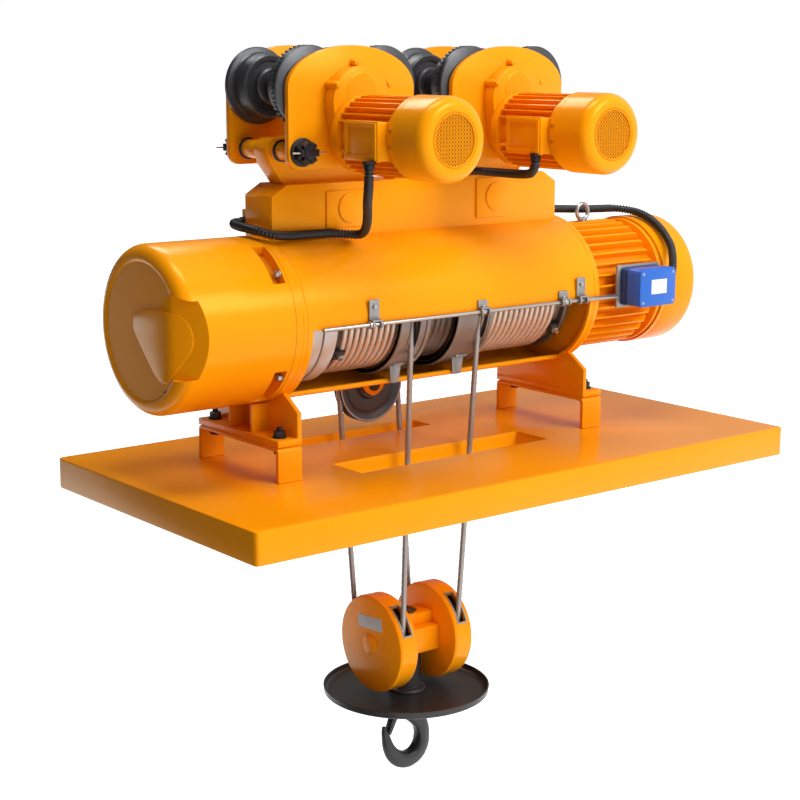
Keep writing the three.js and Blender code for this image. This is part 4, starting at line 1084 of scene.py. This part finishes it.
def build_hook():
    """A forged hook and its latch; stations are (x, z, half width, half depth), shank to tip."""
    x0, y0 = middle("crosshead", "x")[0], middle("hook", "y")[0]
    bowl = hook_low.z + 76
    stations = [(0, 150, 21, 21), (0, 118, 22, 21), (2, 98, 24, 19), (14, 80, 25, 18),
                (33, 62, 24, 17), (49, 38, 21, 18), (55, 8, 21, 19), (50, -22, 22, 20),
                (32, -44, 23, 20), (4, -52.5, 23.5, 19), (-25, -45, 22.5, 18), (-47, -26, 19.5, 17),
                (-61, -2, 15, 15), (-68, 22, 11.5, 12), (-73, 42, 8, 9), (-76, 56, 4.5, 5)]
    line = [Vector((x0 + x, y0, bowl + z)) for x, z, _, _ in stations]
    smooth = catmull(line, 6)
    widths = [w for _, _, w, _ in stations]
    depths = [d for _, _, _, d in stations]

    def section(i):
        """The rounded outline at a point of the line, a little thinner on its outer side."""
        place = min(i / 6, len(stations) - 1.001)
        k, t = int(place), place - int(place)
        half = widths[k] * (1 - t) + widths[k + 1] * t
        deep = depths[k] * (1 - t) + depths[k + 1] * t
        points = []
        for n in range(24):
            turn = 2 * math.pi * n / 24
            u, v = math.cos(turn), math.sin(turn)
            u = math.copysign(abs(u) ** 0.8, u) * half
            v = math.copysign(abs(v) ** 0.8, v) * deep * (1 - 0.16 * u / half)
            points.append((u, v))
        return points

    bm = bmesh.new()
    rings = []
    for i, point in enumerate(smooth):
        tangent = (smooth[min(i + 1, len(smooth) - 1)] - smooth[max(i - 1, 0)]).normalized()
        outwards = tangent.cross(Vector((0, 1, 0))).normalized()
        spots = [point + outwards * u + Vector((0, v, 0)) for u, v in section(i)]
        rings.append([bm.verts.new(spot) for spot in spots])
    tidy(capped(bm, rings))
    shank = rod("Z", bowl + 140, hook_high.z - 30, 21.5, (x0, y0), 40)
    collar = rod("Z", bowl + 120, bowl + 140, 30, (x0, y0), 40, 3)
    top = hexagon("Z", hook_high.z - 30, hook_high.z, 50, (x0, y0))
    piece("hook_forging", [bm, shank, collar, top], HOOK_STEEL, "hook", ["hook"], sharp=45)
    latch_low, latch_high = span("hook_latch")
    z1 = latch_high.z
    arm = soften([(x0 - 24, z1 + 4), (x0 - 34, z1 + 6), (x0 - 47, z1 - 14),
                  (x0 - 66, latch_low.z - 4), (x0 - 60, latch_low.z - 8), (x0 - 30, z1 - 10)], 4, 3,
                 closed=True)
    plates = [prism(arm, "Y", y, y + 3, 0.8) for y in (latch_low.y - 2, latch_high.y - 1)]
    spine = soften([(x0 - 40, z1 - 4), (x0 - 46, z1 - 2), (x0 - 67, latch_low.z - 3),
                    (x0 - 62, latch_low.z - 7)], 2, 2, closed=True)
    plates.append(prism(spine, "Y", latch_low.y - 1, latch_high.y + 1, 0.8))
    pin = rod("Y", latch_low.y - 6, latch_high.y + 6, 4, (x0 - 29, z1 - 2), 16)
    piece("latch_plate", [*plates, pin], HOOK_STEEL, "hook_latch", ["hook_latch"])


# ---------------------------------------------------------------- saddle and trolleys

# Tie bolts and wheel axles on each trolley. A plate's half width, where its arch starts, the
# arch's rise, and a plate's thickness.
TIE_X, TIE_Z = 146, 832
WHEEL_X, AXLE_Z = 107, 978
HALF, SPRING, RISE = 183, 976, 97
PLATE = 15


def trolley_centre(side):
    return middle(f"{side}_trolley_front_plate", "x")[0]


def build_saddle():
    y0, y1 = -6, 106
    shoulder, top = 727, 753
    x0, x1 = saddle_low.x, 400
    bottom = AXIS[1] + 181
    outline = [(x0, bottom), (x1, bottom), (x1, shoulder), (x1 - 43, top), (x0 + 43, top),
               (x0, shoulder)]
    parts = [prism(outline, "Y", y0, y1, 2.0)]
    for side in SIDES:
        c = trolley_centre(side)
        line = [(c - 125, top - 4), (c + 125, top - 4), (c + 166, TIE_Z - 30)]
        line += arc((c + TIE_X, TIE_Z), 28, -30, 90, 8)
        line += arc((c - TIE_X, TIE_Z), 28, 90, 210, 8)
        line.append((c - 166, TIE_Z - 30))
        parts.append(prism(line, "Y", 22, 78, 2.0))
    piece("saddle_box", parts, PAINT, "frame", ["suspension_saddle"])
    pads = []
    for px0, px1, pz0, pz1 in ((-351, -235, 646, 733), (121, 228, 644, 745)):
        pads.append(block((px0, y0 - 5, pz0), (px1, y0 + 1, pz1), 1.2))
        pads.append(rod("Y", y0 - 9, y0 - 4, 36, ((px0 + px1) / 2 + 12, (pz0 + pz1) / 2 + 2), 64,
                        1.5))
    for x in (x0, x1 - 2):
        pads.append(block((x - 0.5, y0 + 4, bottom), (x + 2.5, y1 - 4, shoulder - 4), 0.5))
    piece("saddle_pads", pads, PAINT, "frame")
    for name, (box_low, box_high) in ENTRY_BOXES.items():
        face = 1 if name == "rear" else 2
        lid_low, lid_high = [v + 3 for v in box_low], [v - 3 for v in box_high]
        lid_low[face], lid_high[face] = box_high[face] - 1, box_high[face] + 1.5
        piece(f"entry_box_{name}", [block(box_low, box_high, 2.5), block(lid_low, lid_high, 1)],
              PAINT, "frame")


def plate_outline(c, bottom):
    corner = 28
    line = arc((c - HALF + corner, bottom + corner), corner, 180, 270, 8)
    line += arc((c + HALF - corner, bottom + corner), corner, 270, 360, 8)
    for k in range(41):
        t = math.pi * k / 40
        line.append((c + HALF * math.cos(t), SPRING + RISE * math.sin(t)))
    return line


def build_plates(side):
    c = trolley_centre(side)
    for which in ("front", "back"):
        node = f"{side}_trolley_{which}_plate"
        low, high = span(node)
        y0, y1 = (low.y, low.y + PLATE) if which == "front" else (high.y - PLATE, high.y)
        slab = prism(plate_outline(c, low.z), "Y", y0, y1, 1.8)
        inner = (y1 - 1, 6) if which == "front" else (94, y0 + 1)
        stubs = [rod("Y", *inner, 20, (c + d, AXLE_Z), 32) for d in (-WHEEL_X, WHEEL_X)]
        piece(f"{side}_{which}_plate", [slab, *stubs], PAINT, "frame", [node])
        if which == "back":
            caps = []
            for d in (-WHEEL_X, WHEEL_X):
                centre = (c + d, AXLE_Z)
                caps += [hexagon("Y", y1 + 3, y1 + 20, 40, centre),
                         rod("Y", y1, y1 + 3, 27, centre)]
            piece(f"{side}_axle_nuts", caps, BLACK_STEEL, "frame")


WHEEL_TEETH, PINION_TEETH, PINION_Z = 48, 13, 918.8


def build_wheels(side):
    c = trolley_centre(side)
    for n, d in ((1, -WHEEL_X), (2, WHEEL_X)):
        centre = (c + d, AXLE_Z)
        body = f"{side}_trolley_geared_wheel_{n}"
        disc = [(-60, 21), (-60, 92), (-58, 95.5), (-49, 95.5), (-46, 87.5), (-31, 87.5), (-26, 76),
                (4, 74.5), (9, 71), (9, 58), (3, 54), (3, 40), (9, 36), (9.5, 21), (-60, 21)]
        turn = meshed(WHEEL_TEETH, centre, PINION_TEETH, (c, PINION_Z))
        teeth = prism(cogs(WHEEL_TEETH, 88.3, 95.5, centre, turn), "Y", -45.5, -30, 0.6,
                      [circle(centre, 60)])
        piece(f"{side}_geared_wheel_{n}", [lathe(disc, "Y", centre, 96), teeth], WHEEL_STEEL, body,
              [body])
        piece(f"{side}_geared_hub_{n}", [rod("Y", 8, 13, 27, centre, 32),
                                         hexagon("Y", 6, 12, 34, centre)], BLACK_STEEL, "frame")
        body = f"{side}_trolley_plain_wheel_{n}"
        disc = [(90.5, 21), (90.5, 38), (94, 42), (104, 44), (104, 56), (99, 60), (98, 70),
                (102, 74.5), (142, 76), (146, 79), (148, 89), (151, 91), (158, 91), (160, 88),
                (160, 21), (90.5, 21)]
        piece(f"{side}_plain_wheel_{n}", [lathe(disc, "Y", centre, 96)], WHEEL_STEEL, body, [body])
        piece(f"{side}_plain_hub_{n}", [rod("Y", 87, 90.3, 27, centre, 32),
                                        hexagon("Y", 88.5, 94, 34, centre, "low")], BLACK_STEEL,
              "frame")


def build_ties(side):
    c = trolley_centre(side)
    for n, d in ((1, -TIE_X), (2, TIE_X)):
        node = f"{side}_trolley_tie_bolt_{n}"
        low, high = span(node)
        centre = (c + d, TIE_Z)
        spans = ((-63.7, -3), (3, 21.7), (78.3, 138), (144, 163.7))
        tubes = [rod("Y", y0, y1, 22, centre, 48) for y0, y1 in spans]
        piece(f"{side}_tie_{n}_spacers", tubes, PAINT, "frame")
        rings = [rod("Y", -3, 3, 26, centre, 48, 1.2), rod("Y", 138, 144, 26, centre, 48, 1.2)]
        for face, way in ((-79, -1), (179, 1)):
            far = face + way * 6
            rings.append(rod("Y", *sorted((face, far)), 33, centre, 48, 1.2))
            rings += castle_nut(centre, far, way)
        piece(f"{side}_tie_{n}_nuts", rings, BLACK_STEEL, "frame", [node])
        pins = [rod("X", centre[0] - 46, centre[0] + 46, 2, (y, TIE_Z), 12, 0.4)
                for y in (low.y + 9, high.y - 9)]
        piece(f"{side}_tie_{n}_cotters", pins, BRIGHT_STEEL, "frame")


def castle_nut(centre, face, way):
    """A slotted nut and its bolt's end, going out from a face."""
    nut, crown, bolt = (sorted((face + way * near, face + way * far)) for near,
                        far in ((0, 18), (17, 29), (0, 31.5)))
    parts = [hexagon("Y", *nut, 48, centre, "high" if way > 0 else "low")]
    for k in range(6):
        tooth = block((12, crown[0], -8.5), (25, crown[1], 8.5), 1.5)
        parts.append(moved(tooth, turned("Y", 60 * k, (centre[0], 0, centre[1]))))
    return [*parts, rod("Y", *bolt, 15, centre, 32, 1.5)]


def build_gearmotor(side):
    c = trolley_centre(side)
    face, plate = -116.0, -79.3
    upper, lower = (c, 943), (c, 870)
    r1, r2 = 83.0, 72.0
    lean = math.degrees(math.asin((r1 - r2) / (upper[1] - lower[1])))
    outline = arc(upper, r1, -lean, 180 + lean, 48) + arc(lower, r2, 180 + lean, 360 - lean, 40)
    parts = [prism(outline, "Y", face, plate, 3.0)]
    parts.append(lathe(soften([(face - 1.6, 0), (face - 1.6, 42), (face, 46), (face, 0)], 1, 2),
                       "Y", (c, 968), 48))
    for du, dv in ((1, 91), (100, 40), (-72, 41)):
        spot = (c + du, upper[1] + dv)
        reach = 36 if du < 0 else 9
        parts.append(rod("Y", plate - reach, plate, 9, spot, 32, 1.2))
        parts.append(hexagon("Y", plate - reach - 7, plate - reach, 13, spot, "low"))
    piece(f"{side}_gear_cover", parts, PAINT, "frame", [f"{side}_trolley_gearmotor"])
    motor, back, root, tip = lower, -330.0, 78, 91.5
    parts = [rod("Y", face - 22, face + 1, tip, motor, 96, 3),
             rod("Y", back, face - 10, root, motor, 80, 1),
             tube("Y", back, back + 14, 60, tip - 2, motor, 96, 3)]
    for k in range(32):
        angle = 360 * k / 32
        if 158 < angle < 202:
            continue
        fin = block((root - 3, back + 12, -1.8), (tip, face - 20, 1.8), 0.7, 1)
        parts.append(moved(fin, turned("Y", -angle, (motor[0], 0, motor[1]))))
    piece(f"{side}_motor_body", parts, PAINT, "frame")
    x0, x1, y0, y1, z0, z1 = c - 122, c - 60, -322, -204, 822, 907
    hole = rectangle(y0 + 13, y1 - 13, z0 + 12, z1 - 12)
    parts = [
        block((x0 + 12, y0, z0), (x1, y1, z1), 2.5),
        block((x0 + 4, y0 - 2, z0 - 2), (x0 + 14, y1 + 2, z1 + 2), 2),
        prism(rectangle(y0 + 2, y1 - 2, z0 + 2, z1 - 2), "X", x0, x0 + 6, 1.5, [hole]),
    ]
    piece(f"{side}_terminal_box", parts, PAINT, "frame")
    cover_low, cover_high = span(f"{side}_trolley_fan_cover")
    radius, fillet, grille_r = (cover_high.x - cover_low.x) / 2, 26, 60
    end = cover_low.y
    edge = rounded_end(end, radius, fillet, 1)
    cup = [(end + 9, 0), (end + 9, grille_r), (end + 3, grille_r), (end, grille_r + 3), *edge,
           (cover_high.y - 16, radius), (cover_high.y - 14, radius - 1.2),
           (cover_high.y - 12, radius), (cover_high.y, radius), (cover_high.y, radius - 4),
           (end + fillet, radius - 4), (end + 12, grille_r + 4), (end + 12, 0)]
    piece(f"{side}_fan_cup", [lathe(cup, "Y", motor, 112)], PAINT, "frame",
          [f"{side}_trolley_fan_cover"], sharp=28)
    build_grille(f"{side}_fan_grille", "Y", end + 8.6, end + 0.6, motor, grille_r - 0.5, 8.4)
    screws = [hexagon("X", c - radius - 1, c - radius + 4, 9, (cover_high.y - 8, motor[1] + dz),
                      "low") for dz in (-18, 18)]
    piece(f"{side}_fan_screws", screws, PAINT_SHADE_AND_SEAM, "frame")


def build_pinion(side):
    c = trolley_centre(side)
    body = f"{side}_trolley_drive_pinion"
    centre = (c, middle(body, "z")[0])
    parts = [
        prism(cogs(73, 35.2, 37.4, centre), "Y", -104, -86, 0.3),
        rod("Y", -88, -58, 14, centre, 32),
        prism(cogs(PINION_TEETH, 25.8, 32.8, centre), "Y", -44.5, -31, 0.5),
    ]
    piece(f"{side}_pinion", parts, BLACK_STEEL, body, [body])


# ---------------------------------------------------------------- conduits

ENTRY_BOXES = {
    "rear": ((-486, 103, 632), (-434, 150, 688)),
    "top": ((-136, 2, 750), (-86, 50, 793)),
}
CONDUIT_R = 11
CONDUITS = {"conduit_left_trolley": [(-452, -306, 821.4), (-452, -305, 790), (-440, -288, 760),
                                     (-415, -252, 728), (-375, -200, 697), (-335, -146, 668),
                                     (-306, -98, 644), (-296, -66, 633), (-310, -42, 632),
                                     (-350, -27, 636), (-410, -25, 637), (-470, -25, 637),
                                     (-512, -24, 641), (-537, -6, 648), (-549, 28, 654),
                                     (-549, 66, 656), (-541, 100, 658), (-522, 124, 659),
                                     (-502, 129, 659), (-486.4, 129, 659)],
            "conduit_right_trolley": [(48, -304, 821.4), (48, -303, 797), (60, -280, 778),
                                      (82, -240, 770), (98, -180, 766), (96, -110, 766),
                                      (70, -50, 768), (20, -18, 770), (-30, 8, 772), (-60, 22, 772),
                                      (-74, 23, 772), (-85.5, 23, 772)],
            "conduit_motor": [(402, 93, 642), (450, 92, 643), (510, 92, 640), (580, 88, 636),
                              (650, 80, 634), (700, 66, 633), (728, 30, 628), (738, -20, 614),
                              (738, -74, 584), (732, -116, 545), (714, -142, 515), (698, -158, 490),
                              (684, -168, 474), (668, -172, 466)]}


def build_conduit(name, points):
    """Corrugated hose on its route, with a gland at each end."""
    rib = 8.0
    path = respaced(catmull(points, 16), rib / 4)

    def section(i, _):
        radius = CONDUIT_R if i % 4 in (1, 2) else CONDUIT_R - 2.6
        return circle((0, 0), radius, 20)

    hose = piece(name + "_hose", [swept(path, section)], RUBBER, "frame", [name], sharp=60)
    glands = []
    for end, beyond in ((path[0], path[8]), (path[-1], path[-9])):
        way = (beyond - end).normalized()
        turn = Matrix.Translation(end) @ way.to_track_quat("Z", "Y").to_matrix().to_4x4()
        glands.append(moved(hexagon("Z", -1, 7, 27, (0, 0)), turn))
        glands.append(moved(rod("Z", 6, 17, 12.6, (0, 0), 24, 1.5), turn))
    fitting = piece(name + "_glands", glands, BLACK_STEEL, "frame")


# ---------------------------------------------------------------- floor, lights and surroundings


WHITE = (1.0, 1.0, 1.0, 1.0)


def area_light(name, spot, target, size, power):
    data = bpy.data.lights.new(name, "AREA")
    data.shape = "RECTANGLE"
    data.size, data.size_y = size
    data.energy = power
    lamp = bpy.data.objects.new(name, data)
    lamp.location = spot
    lamp.rotation_mode = "QUATERNION"
    lamp.rotation_quaternion = (Vector(target) - Vector(spot)).to_track_quat("-Z", "Y")
    bpy.context.scene.collection.objects.link(lamp)


def map_range(tree, source, from_low, from_high, to_low, to_high, **settings):
    values = {"From Min": from_low, "From Max": from_high, "To Min": to_low, "To Max": to_high}
    return shader_node(tree, "MapRange", {"Value": source}, values, **settings).outputs["Result"]


def build_floor(level):
    """A pale disc below the hook's lowest place, which glows more farther from the object."""
    bm = bmesh.new()
    bmesh.ops.create_circle(bm, cap_ends=True, segments=96, radius=70.0)
    mesh = bpy.data.meshes.new("floor")
    bm.to_mesh(mesh)
    bm.free()
    pale = look("floor_pale", (0.90, 0.90, 0.90), (0.89, 0.89, 0.89), 0.7, bump=0.0)
    tree = pale.node_tree
    glow = tree.nodes["Principled BSDF"].inputs
    glow["Emission Color"].default_value = WHITE
    place = shader_node(tree, "TexCoord").outputs["Object"]
    beyond = shader_node(tree, "VectorMath", {0: place}, operation="LENGTH").outputs["Value"]
    strength = map_range(tree, beyond, 0.3, 4.6, 0.28, 1.0, interpolation_type="SMOOTHSTEP")
    tree.links.new(strength, glow["Emission Strength"])
    mesh.materials.append(pale)
    floor = bpy.data.objects.new("floor", mesh)
    floor.location = (0, 0, level)
    bpy.context.scene.collection.objects.link(floor)


def build_card(level):
    """A dark card to the left, which darkens the left faces and which the camera doesn't see."""
    mesh = bpy.data.meshes.new("dark_card")
    mesh.from_pydata([(-2.5, y, z) for y, z in rectangle(-2.0, 3.4, level, 2.0)], [], [range(4)])
    mesh.materials.append(look("card_grey", (0.05, 0.05, 0.05), (0.05, 0.05, 0.05), 0.9, bump=0.0))
    card = bpy.data.objects.new("dark_card", mesh)
    card.visible_camera = False
    bpy.context.scene.collection.objects.link(card)


def build_world():
    """Light mostly from the front right, and white where the camera sees past the floor."""
    world = bpy.data.worlds.new("studio")
    bpy.context.scene.world = world
    world.use_nodes = True
    tree = world.node_tree
    tree.nodes.clear()
    way = shader_node(tree, "TexCoord").outputs["Generated"]
    front = shader_node(tree, "VectorMath", {0: way}, {1: (0.72, -0.69, 0.0)},
                        operation="DOT_PRODUCT")
    strength = map_range(tree, front.outputs["Value"], -0.3, 0.85, 0.05, 0.95)
    soft = shader_node(tree, "Background", {"Strength": strength}, {"Color": WHITE})
    plain = shader_node(tree, "Background", values={"Color": WHITE})
    seen = shader_node(tree, "LightPath").outputs["Is Camera Ray"]
    feeds = {"Fac": seen, 1: soft.outputs["Background"], 2: plain.outputs["Background"]}
    choose = shader_node(tree, "MixShader", feeds)
    shader_node(tree, "OutputWorld", {"Surface": choose.outputs["Shader"]})


def build_studio():
    level = cad_low.z + JOINT["hook_lift"]["range_m"][0] - 0.15
    build_floor(level)
    build_card(level)
    build_world()
    area_light("key", (1.5, -4.4, 3.4), (0, 0, 0.3), (2.4, 2.0), 150)
    area_light("top", (-0.5, -0.6, 4.8), (0, 0, 0.4), (2.6, 1.6), 120)
    area_light("rear", (0.6, 3.2, 4.4), (0, 0, 0.4), (2.4, 1.6), 70)
    bpy.context.scene.view_settings.view_transform = "Standard"


# ---------------------------------------------------------------- assembly

for name, points in CONDUITS.items():
    build_conduit(name, points)
build_studio()
build_base()
for side in SIDES:
    build_leg(side)
    build_foot(side)
build_shell()
build_gear_case()
build_case_relief()
build_housing_rings()
build_motor()
build_lifting_eye()
build_blue_box()
build_drum()
for side in SIDES:
    build_winding(side)
    build_guide(side)
build_limit_rod()
build_equalizer()
build_falls()
for side in SIDES:
    build_casing(side)
build_crosshead()
build_tray()
build_hook()
build_saddle()
for side in SIDES:
    build_plates(side)
    build_wheels(side)
    build_ties(side)
    build_gearmotor(side)
    build_pinion(side)

CARRIED = {"motor_rotor": BRIGHT_STEEL, "intermediate_gear": BLACK_STEEL,
           "left_trolley_rotor": BRIGHT_STEEL, "right_trolley_rotor": BRIGHT_STEEL}
for node, surface in CARRIED.items():
    for holder in frame["nodes"][node].material_slots:
        holder.material = surface
